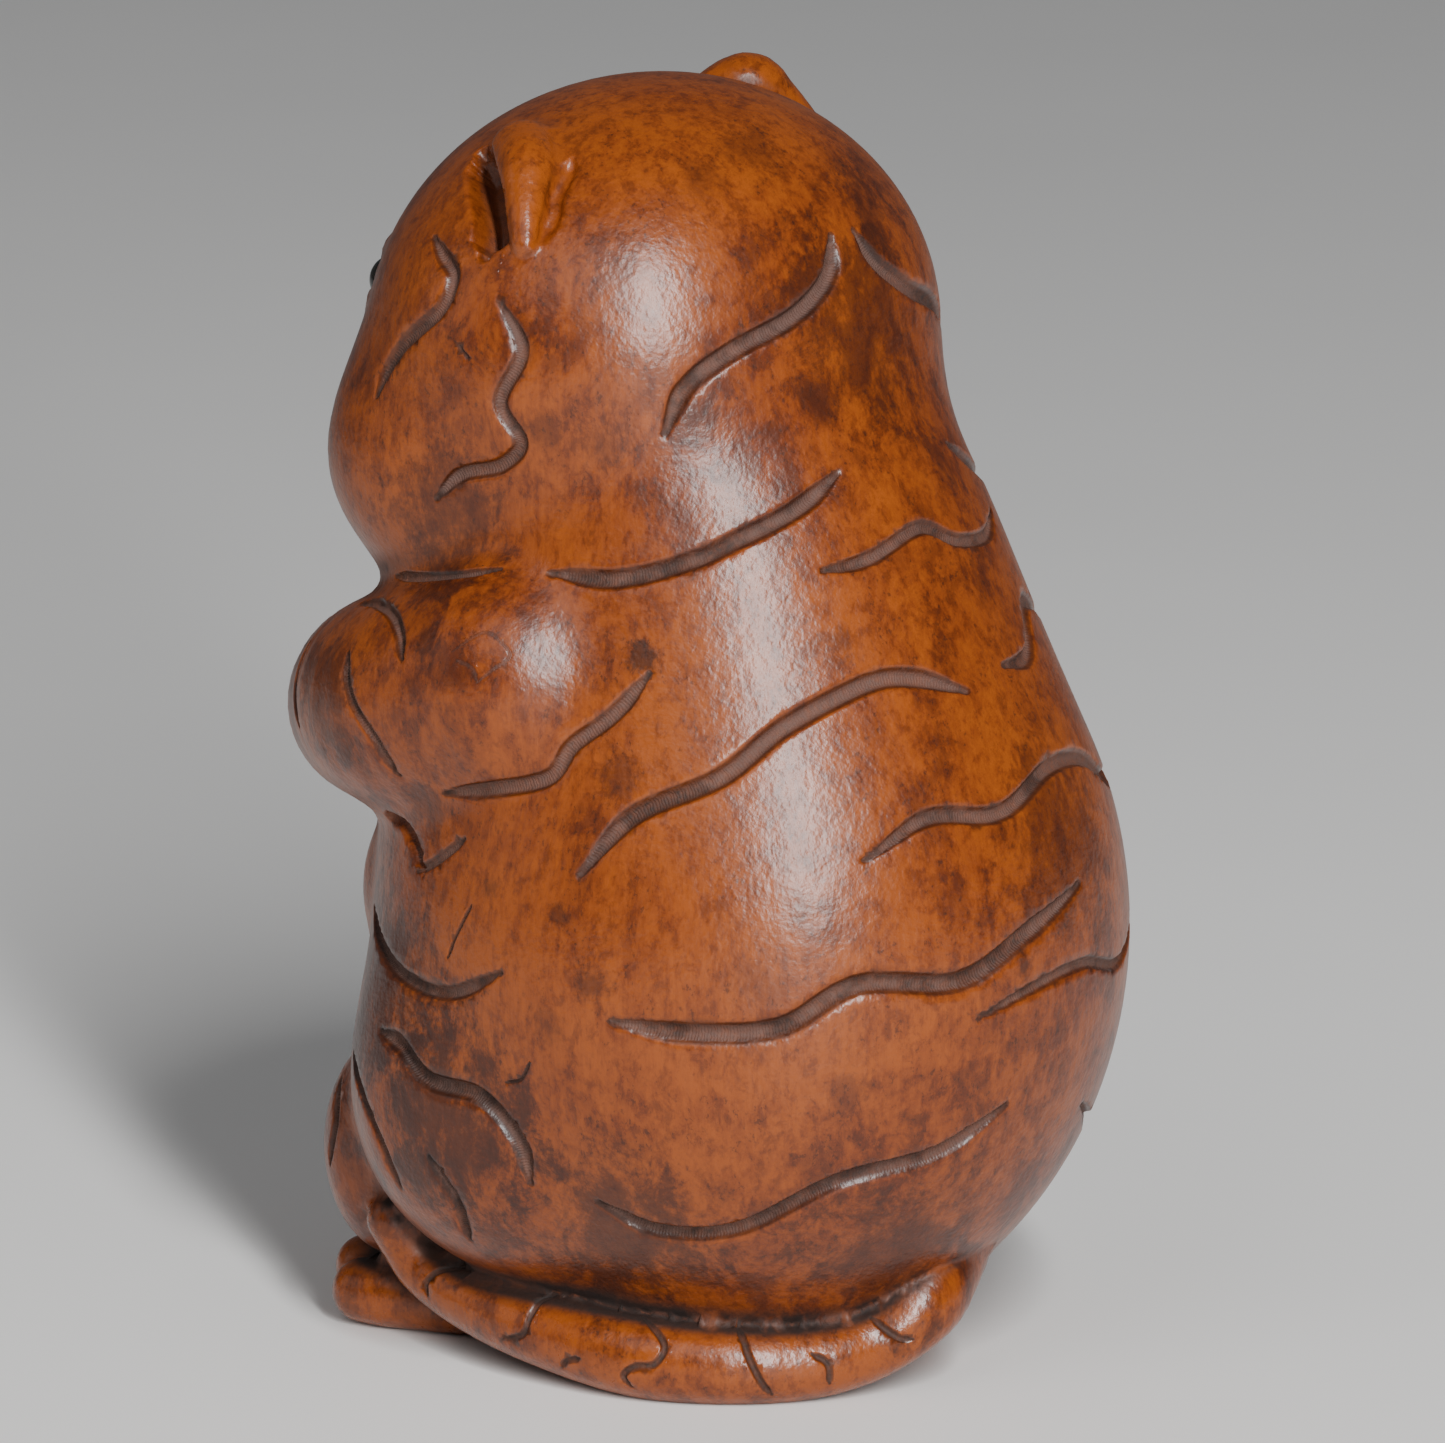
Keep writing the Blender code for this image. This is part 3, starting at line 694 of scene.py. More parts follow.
class Value:
    """A number socket that takes part in Python arithmetic."""

    __add__ = operator_method("ADD")
    __radd__ = operator_method("ADD", swapped=True)
    __sub__ = operator_method("SUBTRACT")
    __rsub__ = operator_method("SUBTRACT", swapped=True)
    __mul__ = operator_method("MULTIPLY")
    __rmul__ = operator_method("MULTIPLY", swapped=True)
    __truediv__ = operator_method("DIVIDE")
    __rtruediv__ = operator_method("DIVIDE", swapped=True)

    def __init__(self, bench: TreeBench, socket: bpy.types.NodeSocket) -> None:
        """Keeps the bench and the socket."""
        self.bench = bench
        self.socket = socket

    def sine(self) -> "Value":
        """Returns the value's sine."""
        return join_values(self.bench, "SINE", (self,))

    def larger(self, other: object) -> "Value":
        """Returns the larger of two values."""
        return join_values(self.bench, "MAXIMUM", (self, other))

    def clamped(self) -> "Value":
        """Returns the value held between 0 and 1."""
        return join_values(self.bench, "ADD", (self, 0.0), clamp=True)

    def between(self, low: float, high: float) -> "Value":
        """Steps smoothly from 0 at one value to 1 at another.

        Args:
            low: Where the step starts.
            high: Where the step ends.

        Returns:
            The step's value.
        """
        node = self.bench.node("ShaderNodeMapRange", {"interpolation_type": "SMOOTHSTEP"},
                               {"Value": self, "From Min": low, "From Max": high})
        return Value(self.bench, node.outputs[0])


def join_values(bench: TreeBench, operation: str, values: tuple[object, ...],
                clamp: bool = False) -> Value:
    """Adds a Math node.

    Args:
        bench: The tree's bench.
        operation: The Math node's operation.
        values: Its operands, as values or numbers.
        clamp: Whether the result is held between 0 and 1.

    Returns:
        The result.
    """
    sockets = dict(zip(("Value", "Value_001", "Value_002"), values))
    node = bench.node("ShaderNodeMath", {"operation": operation, "use_clamp": clamp}, sockets)
    return Value(bench, node.outputs[0])


class GougeTree:
    """The Geometry Nodes tree that sinks the grooves into a skin along wires on it."""

    def build(self, finish: bpy.types.Material) -> tuple[bpy.types.NodeTree, dict[str, str]]:
        """Builds the tree.

        Args:
            finish: The material that the carved skin gets.

        Returns:
            The tree, and the identifiers of its inputs by name.
        """
        tree = bpy.data.node_groups.new("gouged_grooves", "GeometryNodeTree")
        wanted = (("Skin", "NodeSocketGeometry"), ("Wires", "NodeSocketObject"),
                  ("Depth Scale", "NodeSocketFloat"), ("Floor Share", "NodeSocketFloat"))
        names = {}
        for label, kind in wanted:
            made = tree.interface.new_socket(name=label, in_out="INPUT", socket_type=kind)
            names[label] = made.identifier
        tree.interface.new_socket(name="Carved", in_out="OUTPUT", socket_type="NodeSocketGeometry")
        bench = TreeBench(tree)
        given = bench.node("NodeGroupInput").outputs
        wires = bench.node("GeometryNodeObjectInfo", {"transform_space": "ORIGINAL"},
                           {"Object": given["Wires"]}).outputs["Geometry"]
        near = bench.node("GeometryNodeProximity", {"target_element": "EDGES"}, {"Target": wires})
        at = bench.node("GeometryNodeSampleNearest", {"domain": "POINT"},
                        {"Geometry": wires, "Sample Position": near.outputs["Position"]})
        index = at.outputs["Index"]
        half, deep, run, raw = (
            Value(bench, self._sampled(bench, wires, index, name))
            for name in ("half_width", "depth_share", "run_length", "raw")
        )
        corner = self._sampled(bench, wires, index, "place", "FLOAT_VECTOR")
        ahead = self._sampled(bench, wires, index, "ahead", "FLOAT_VECTOR")
        past = bench.node("ShaderNodeVectorMath", {"operation": "SUBTRACT"},
                          {"Vector": near.outputs["Position"], "Vector_001": corner})
        along = bench.node("ShaderNodeVectorMath", {"operation": "DOT_PRODUCT"},
                           {"Vector": past.outputs[0], "Vector_001": ahead})
        run = run + Value(bench, along.outputs["Value"])
        share = Value(bench, near.outputs["Distance"]) / half
        wall = bench.node("ShaderNodeMapRange", {"interpolation_type": "SMOOTHSTEP"},
                          {"Value": share, "From Min": given["Floor Share"], "From Max": 1.0,
                           "To Min": 1.0, "To Max": 0.0})
        sunk = Value(bench, wall.outputs[0])
        depth = sunk * half * 2.0 * deep * Value(bench, given["Depth Scale"])
        normal = bench.node("GeometryNodeInputNormal").outputs[0]
        offset = bench.node("ShaderNodeVectorMath", {"operation": "SCALE"},
                            {"Vector": normal, "Scale": depth * -1.0})
        kept = given["Skin"]
        for name, value in (("groove", sunk), ("groove_run", run), ("groove_edge", share),
                            ("groove_half", half), ("groove_raw", raw)):
            kept = self._stored(bench, kept, name, value)
        moved = bench.node("GeometryNodeSetPosition", {},
                           {"Geometry": kept, "Offset": offset.outputs[0]})
        real = bench.node("GeometryNodeRealizeInstances", {}, {"Geometry": moved.outputs[0]})
        dressed = bench.node("GeometryNodeSetMaterial", {},
                             {"Geometry": real.outputs[0], "Material": finish})
        out = bench.node("NodeGroupOutput")
        tree.links.new(dressed.outputs[0], out.inputs[0])
        return tree, names

    @staticmethod
    def _sampled(bench: TreeBench, wires: bpy.types.NodeSocket, index: bpy.types.NodeSocket,
                 name: str, kind: str = "FLOAT") -> bpy.types.NodeSocket:
        """Reads an attribute of the nearest wire point.

        Args:
            bench: The tree's bench.
            wires: The wires' geometry.
            index: The nearest wire point.
            name: The attribute's name.
            kind: The attribute's type.

        Returns:
            The attribute there.
        """
        read = bench.node("GeometryNodeInputNamedAttribute", {"data_type": kind}, {"Name": name})
        node = bench.node("GeometryNodeSampleIndex", {"data_type": kind, "domain": "POINT"},
                          {"Geometry": wires, "Value": read.outputs[0], "Index": index})
        return node.outputs[0]

    @staticmethod
    def _stored(bench: TreeBench, geometry: bpy.types.NodeSocket, name: str,
                value: Value) -> bpy.types.NodeSocket:
        """Stores a number on every point.

        Args:
            bench: The tree's bench.
            geometry: The skin.
            name: The name that the number is stored under.
            value: The number.

        Returns:
            The skin with the number.
        """
        node = bench.node("GeometryNodeStoreNamedAttribute",
                          {"data_type": "FLOAT", "domain": "POINT"},
                          {"Geometry": geometry, "Name": name, "Value": value})
        return node.outputs[0]


@dataclass(frozen=True)
class StainAndShade:
    """A dark patch: a small one is a spot in the patina, a broad one is painted shade.

    Attributes:
        place: Its bearing and height on the skin.
        radius: How far it spreads, in hundredths of the height.
        strength: How strongly it shows, from 0 to 1.
        warm: Whether it is red-brown and not black.
    """

    place: Place
    radius: float
    strength: float
    warm: bool = True


@dataclass(frozen=True)
class Pattern:
    """A cloudy pattern that is fixed to a piece.

    Attributes:
        scale: Waves for each metre along X, Y and Z.
        detail: How many finer layers it has.
        roughness: How strong the finer layers are.
        shift: A move of the pattern.
        warp: How much it is distorted.
    """

    scale: Point
    detail: float
    roughness: float = 0.5
    shift: Point = (0.0, 0.0, 0.0)
    warp: float = 0.0


@dataclass(frozen=True)
class BoxwoodFinish:
    """Stained and polished boxwood with dirt in its pores and fine lines, and painted shade in its
    hollows.

    Attributes:
        name: The material's name.
        honey: The lightest wood.
        amber: The darker clouds of the wood.
        umber: The warm brown of the patches, flecks and spots in the patina, also of the broad painted
            shade.
        soot_and_shade: The black of the dirt in pores and fine lines, and of the painted shade in
            crevices, eye sockets and along groove rims.
        groove_floor: The unpolished floor of a groove.
        polish: The roughness of the polished skin.
        groove_roughness: The roughness of a groove's floor.
        crevice_roughness: How much rougher the deepest crevices are.
        hatch_turns: Waves of the tool marks along each hundredth of a groove, times two pi.
        patch_share: How much of the umber patches shows.
        fleck_share: How much of the umber flecks shows.
        crevice_share: How strong the painted shade in the crevices and eye sockets is.
        worn_share: How much paler the worn high spots are.
        ior: How strongly the surface reflects.
        bump_strength: How strong the small relief is.
        bump_depth: The depth of the small relief in metres.
        clouds: The broad light and dark of the stain.
        grain: The upright streaks of the wood.
        mottle: The patches in the patina.
        specks: The pores.
        flecks: The small dark flecks.
        crumbs: The rough floor of the grooves.
        sooty: Where a groove's floor is black.
        pebble: The finest unevenness of the polish.
        soft: The soft unevenness of the polish.
    """

    name: str = "polished_boxwood"
    honey: Point = (0.235, 0.051, 0.0045)
    amber: Point = (0.118, 0.0205, 0.0024)
    umber: Point = (0.032, 0.0066, 0.002)
    soot_and_shade: Point = (0.009, 0.0042, 0.0028)
    groove_floor: Point = (0.085, 0.043, 0.032)
    polish: float = 0.23
    groove_roughness: float = 0.66
    crevice_roughness: float = 0.5
    hatch_turns: float = 26.0
    patch_share: float = 0.5
    fleck_share: float = 0.35
    crevice_share: float = 0.94
    worn_share: float = 0.5
    ior: float = 1.47
    bump_strength: float = 0.6
    bump_depth: float = 0.00007
    clouds: Pattern = Pattern((95.0, 95.0, 70.0), 3.0, 0.55)
    grain: Pattern = Pattern((3400.0, 3400.0, 170.0), 4.0, 0.7)
    mottle: Pattern = Pattern((420.0, 420.0, 300.0), 6.0, 0.72, (3.0, 1.0, 2.0), 0.4)
    specks: Pattern = Pattern((3600.0, 3600.0, 2600.0), 3.0, 0.7, (1.0, 5.0, 4.0))
    flecks: Pattern = Pattern((1300.0, 1300.0, 800.0), 5.0, 0.75, (7.0, 2.0, 9.0), 0.3)
    crumbs: Pattern = Pattern((3500.0, 3500.0, 3500.0), 2.0, 0.6)
    sooty: Pattern = Pattern((190.0, 190.0, 190.0), 4.0, 0.7, (4.0, 8.0, 1.0))
    pebble: Pattern = Pattern((3800.0, 3800.0, 3800.0), 2.0)
    soft: Pattern = Pattern((1100.0, 1100.0, 900.0), 2.0)


@dataclass(frozen=True)
class HornFinish:
    """Black polished horn with a brown depth.

    Attributes:
        name: The material's name.
        black: The horn's main colour.
        brown: The colour of its streaks.
        brown_share: How much of the streaks shows.
        polish: The roughness of the bead.
        ior: How strongly it reflects.
        bump_strength: How strong the fine scratches are.
        bump_depth: The depth of the scratches in metres.
        streaks: The brown streaks.
        scratches: The fine scratches.
    """

    name: str = "black_horn"
    black: Point = (0.010, 0.009, 0.007)
    brown: Point = (0.05, 0.028, 0.012)
    brown_share: float = 0.6
    polish: float = 0.12
    ior: float = 1.55
    bump_strength: float = 0.15
    bump_depth: float = 0.00002
    streaks: Pattern = Pattern((900.0, 2600.0, 900.0), 3.0, 0.6)
    scratches: Pattern = Pattern((7000.0, 7000.0, 7000.0), 2.0)


@dataclass(frozen=True)
class FloorFinish:
    """A plain pale studio floor.

    Attributes:
        name: The material's name.
        colour: The floor's colour.
        roughness: How dull it is.
        shade: How dark its darker clouds are, as a share of the colour.
        clouds: The faint clouds.
    """

    name: str = "pale_floor"
    colour: Point = (0.88, 0.87, 0.855)
    roughness: float = 0.55
    shade: float = 0.96
    clouds: Pattern = Pattern((30.0, 30.0, 30.0), 2.0)


class ShaderBench(TreeBench):
    """Adds shader nodes, and mixes colours and vectors."""

    def __init__(self, material: bpy.types.Material) -> None:
        """Empties the material's tree and starts it with a shader and an output.

        Args:
            material: The material.
        """
        material.use_nodes = True
        super().__init__(material.node_tree)
        self.tree.nodes.clear()
        self.shader = self.node("ShaderNodeBsdfPrincipled")
        out = self.node("ShaderNodeOutputMaterial")
        self.tree.links.new(self.shader.outputs[0], out.inputs[0])

    def set(self, **sockets: object) -> None:
        """Feeds the shader's own sockets, with spaces written as underscores."""
        for name, value in sockets.items():
            self.feed(self.shader.inputs[name.replace("_", " ")], value)

    def mixed(self, share: object, a: object, b: object) -> bpy.types.NodeSocket:
        """Mixes two colours.

        Args:
            share: How much of the second colour shows.
            a: The first colour, as a tuple or a socket.
            b: The second colour.

        Returns:
            The mixed colour.
        """
        tones = [(*tone, 1.0) if isinstance(tone, tuple) else tone for tone in (a, b)]
        node = self.node("ShaderNodeMix", {"data_type": "RGBA"},
                         {"Factor_Float": share, "A_Color": tones[0], "B_Color": tones[1]})
        return next(s for s in node.outputs if s.identifier == "Result_Color")

    def pattern(self, given: Pattern) -> Value:
        """Adds a pattern on the piece's own coordinates.

        Args:
            given: The pattern's sizes.

        Returns:
            Its value, from 0 to 1.
        """
        own = self.node("ShaderNodeTexCoord").outputs["Object"]
        placed = self.node("ShaderNodeMapping", {},
                           {"Vector": own, "Scale": given.scale, "Location": given.shift})
        node = self.node("ShaderNodeTexNoise", {},
                         {"Vector": placed.outputs[0], "Scale": 1.0, "Detail": given.detail,
                          "Roughness": given.roughness, "Distortion": given.warp})
        return Value(self, node.outputs[0])

    def relief(self, height: Value, strength: float, depth: float) -> bpy.types.NodeSocket:
        """Adds a bump.

        Args:
            height: How high each point stands.
            strength: How strong the relief is.
            depth: Its depth in metres.

        Returns:
            The changed normal.
        """
        node = self.node("ShaderNodeBump", {},
                         {"Strength": strength, "Distance": depth, "Height": height})
        return node.outputs[0]

    def attribute(self, name: str) -> Value:
        """Returns a number that is stored on the mesh."""
        return Value(self, self.node("ShaderNodeAttribute", {"attribute_name": name}).outputs["Fac"])


class BoxwoodTree:
    """The shader of the carved wood, laid in layers."""

    def __init__(self, finish: BoxwoodFinish, material: bpy.types.Material) -> None:
        """Adds the patterns and the stored numbers that the layers share.

        Args:
            finish: The wood's colours, polish and patterns.
            material: The material that the layers are laid in.
        """
        self.finish = finish
        self.bench = ShaderBench(material)
        self.clouds = self.bench.pattern(finish.clouds)
        self.grain = self.bench.pattern(finish.grain)
        self.mottle = self.bench.pattern(finish.mottle)
        self.specks = self.bench.pattern(finish.specks)
        self.flecks = self.bench.pattern(finish.flecks)
        self.crumbs = self.bench.pattern(finish.crumbs)
        self.groove = self.bench.attribute("groove")
        self.worn = self.bench.attribute("worn")
        self.groove_raw = self.bench.attribute("groove_raw")
        self.raw = self.groove.between(0.3, 0.85) * self.groove_raw
        self.thin = 1.0 - self.bench.attribute("groove_half").between(0.3, 0.52)
        # Painted shade: the stored crevice share, which says how sheltered each point is, darkens
        # crevices, hollows and eye sockets.
        self.deep = self.bench.attribute("crevice").between(0.12, 0.7) * finish.crevice_share

    def wood(self) -> bpy.types.NodeSocket:
        """Lays clouds, grain, patches, flecks and pores.

        Returns:
            The colour of the stained wood.
        """
        finish, mixed = self.finish, self.bench.mixed
        tone = self.clouds.between(0.34, 0.66) * 0.5 + self.grain.between(0.35, 0.65) * 0.28
        tone = tone + self.mottle.between(0.4, 0.6) * 0.35
        tone = tone + self.flecks.between(0.4, 0.62) * 0.4 - 0.25
        tone = tone - self.worn * finish.worn_share
        colour = mixed(tone.clamped(), finish.honey, finish.amber)
        patches = self.mottle.between(0.48, 0.62) * self.clouds.between(0.42, 0.58)
        colour = mixed(patches * finish.patch_share, colour, finish.umber)
        flecks = self.flecks.between(0.5, 0.66) * finish.fleck_share
        colour = mixed(flecks, colour, finish.umber)
        pores = self.specks.between(0.56, 0.66) * (0.12 + self.mottle.between(0.46, 0.58) * 0.4)
        return mixed(pores, colour, finish.soot_and_shade)

    def stained_and_shaded(self, colour: bpy.types.NodeSocket, place: Vector, radius: float,
                dark_patch: StainAndShade) -> bpy.types.NodeSocket:
        """Lays one dark patch, broken up by the mottle and the specks; broad ones are painted shade.

        Args:
            colour: The colour so far.
            place: The patch's middle in metres.
            radius: How far it spreads in metres.
            dark_patch: Its strength and warmth.

        Returns:
            The colour with the patch.
        """
        own = self.bench.node("ShaderNodeTexCoord").outputs["Object"]
        away = self.bench.node("ShaderNodeVectorMath", {"operation": "DISTANCE"},
                               {"Vector": own, "Vector_001": tuple(place)})
        near = 1.0 - (Value(self.bench, away.outputs["Value"]) / radius)
        broken = near + self.mottle * 2.4 + self.specks * 0.8 - 1.75
        share = broken.between(0.0, 0.6) * near.between(0.0, 0.3) * dark_patch.strength
        return self.bench.mixed(share, colour, self.finish.umber if dark_patch.warm else self.finish.soot_and_shade)

    def dirtied_and_shaded(self, colour: bpy.types.NodeSocket) -> bpy.types.NodeSocket:
        """Lays painted shade in the crevices and eye sockets, the grooves' grey floors and their rims,
        darkened by dirt and painted shade.

        Args:
            colour: The colour so far.

        Returns:
            The finished colour.
        """
        finish, mixed = self.finish, self.bench.mixed
        # Painted shade: sheltered crevices and eye sockets are mixed towards black, and the grey
        # groove floor gives way to it there.
        colour = mixed(self.deep, colour, finish.soot_and_shade)
        share = self.raw * (0.55 + self.crumbs * 0.6) * (1.0 - self.deep * 0.6)
        black = self.bench.pattern(finish.sooty).between(0.47, 0.62) * 0.8
        floor = mixed((self.thin * 0.9).larger(black), finish.groove_floor, finish.soot_and_shade)
        colour = mixed(share.clamped(), colour, floor)
        # Dirt and painted shade: each groove's walls are darkened along the rims, where dirt gathers
        # and shade falls.
        rim = self.groove.between(0.01, 0.25) * (1.0 - self.groove.between(0.5, 0.85))
        return mixed(rim * self.groove_raw * 0.6, colour, finish.soot_and_shade)

    def roughness(self) -> Value:
        """Works out how dull the skin, the crevices and the grooves are.

        Returns:
            The roughness.
        """
        finish = self.finish
        rough = finish.polish + self.mottle * 0.14 + self.specks * 0.06 - self.worn * 0.06
        rough = rough + self.deep * finish.crevice_roughness
        return (rough + self.raw * (finish.groove_roughness - finish.polish)).clamped()

    def height(self) -> Value:
        """Works out the small relief of the polish and of the tool marks in the grooves.

        Returns:
            The height.
        """
        finish = self.finish
        turns = self.bench.attribute("groove_run") * finish.hatch_turns
        hatch = (turns + self.bench.attribute("groove_edge") * 2.0 + self.crumbs * 9.0).sine()
        skin = self.bench.pattern(finish.pebble) * 0.6 + self.bench.pattern(finish.soft) * 0.9
        skin = skin + self.grain * 0.12 + hatch * self.raw * (1.0 - self.thin) * 0.2
        return skin + self.crumbs * self.raw * 0.9


def build_boxwood(finish: BoxwoodFinish,
                  stains_and_shade: Iterator[tuple[Vector, float, StainAndShade]]) -> bpy.types.Material:
    """Builds the material of the carved wood.

    Args:
        finish: Its colours, polish and patterns.
        stains_and_shade: Dark patches, each with its place and radius in metres; the broad ones are
            painted shade.

    Returns:
        The material.
    """
    material = bpy.data.materials.new(finish.name)
    tree = BoxwoodTree(finish, material)
    colour = tree.wood()
    for place, radius, dark_patch in stains_and_shade:
        colour = tree.stained_and_shaded(colour, place, radius, dark_patch)
    normal = tree.bench.relief(tree.height(), finish.bump_strength, finish.bump_depth)
    tree.bench.set(Base_Color=tree.dirtied_and_shaded(colour), Roughness=tree.roughness(), Normal=normal,
                   IOR=finish.ior)
    return material


def build_horn(finish: HornFinish) -> bpy.types.Material:
    """Builds the material of the eyes.

    Args:
        finish: Its colours and polish.

    Returns:
        The material.
    """
    material = bpy.data.materials.new(finish.name)
    bench = ShaderBench(material)
    streaks = bench.pattern(finish.streaks)
    share = streaks.between(0.5, 0.8) * finish.brown_share
    normal = bench.relief(bench.pattern(finish.scratches), finish.bump_strength, finish.bump_depth)
    bench.set(Base_Color=bench.mixed(share, finish.black, finish.brown), Normal=normal,
              Roughness=finish.polish + streaks * 0.06, IOR=finish.ior)
    return material


def build_floor_finish(finish: FloorFinish) -> bpy.types.Material:
    """Builds the material of the studio floor.

    Args:
        finish: Its colour and roughness.

    Returns:
        The material.
    """
    material = bpy.data.materials.new(finish.name)
    bench = ShaderBench(material)
    darker = tuple(part * finish.shade for part in finish.colour)
    colour = bench.mixed(bench.pattern(finish.clouds), finish.colour, darker)
    bench.set(Base_Color=colour, Roughness=finish.roughness)
    return material


def read_rows(items: bpy.types.bpy_prop_collection, name: str) -> np.ndarray:
    """Reads three numbers of each item.

    Args:
        items: The items, such as a mesh's points.
        name: What is read.

    Returns:
        One row for each item.
    """
    values = np.empty(len(items) * 3)
    items.foreach_get(name, values)
    return values.reshape(-1, 3)


def mesh_points(mesh: bpy.types.Mesh) -> np.ndarray:
    """Returns the places of a mesh's points as rows."""
    return read_rows(mesh.vertices, "co")


def mesh_normals(mesh: bpy.types.Mesh) -> np.ndarray:
    """Returns the normals of a mesh's points as rows."""
    return read_rows(mesh.vertex_normals, "vector")


def set_mesh_points(mesh: bpy.types.Mesh, points: np.ndarray) -> None:
    """Moves a mesh's points.

    Args:
        mesh: The mesh.
        points: The new places as rows.
    """
    mesh.vertices.foreach_set("co", points.ravel())
    mesh.update()


def store_numbers(mesh: bpy.types.Mesh, name: str, values: np.ndarray) -> None:
    """Stores a number on each of a mesh's points.

    Args:
        mesh: The mesh.
        name: What the numbers are called.
        values: One number for each point.
    """
    stored = mesh.attributes.get(name) or mesh.attributes.new(name, "FLOAT", "POINT")
    stored.data.foreach_set("value", values)


def applied(thing: bpy.types.Object) -> None:
    """Applies an object's modifiers to its mesh and removes them.

    Args:
        thing: The object.
    """
    bpy.context.view_layer.update()
    graph = bpy.context.evaluated_depsgraph_get()
    made = bpy.data.meshes.new_from_object(thing.evaluated_get(graph))
    thing.modifiers.clear()
    thing.data = made


@dataclass(frozen=True)
class Placing:
    """Where the form stands in the solid's own space.

    Attributes:
        scale: How many metres a hundredth of the form is.
        shift: The move in metres after scaling.
    """

    scale: float
    shift: np.ndarray

    @classmethod
    def of(cls, skin: bpy.types.Mesh) -> "Placing":
        """Finds the placing that stands an uncarved skin in the solid's box.

        Args:
            skin: The skin, with its foot at z = 0 or below.

        Returns:
            The placing.
        """
        points = mesh_points(skin)
        low, high = points.min(axis=0), points.max(axis=0)
        box_low, box_high = (np.array(corner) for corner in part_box("cat_carving"))
        scale = (box_high[2] - box_low[2]) / high[2]
        shift = (box_low + box_high) / 2 - scale * (low + high) / 2
        shift[2] = box_low[2]
        return cls(float(scale), shift)

    def placed(self, points: np.ndarray) -> np.ndarray:
        """Returns points of the form in metres in the solid's space."""
        return points * self.scale + self.shift

    def returned(self, points: np.ndarray) -> np.ndarray:
        """Returns points in metres as points of the form."""
        return (points - self.shift) / self.scale


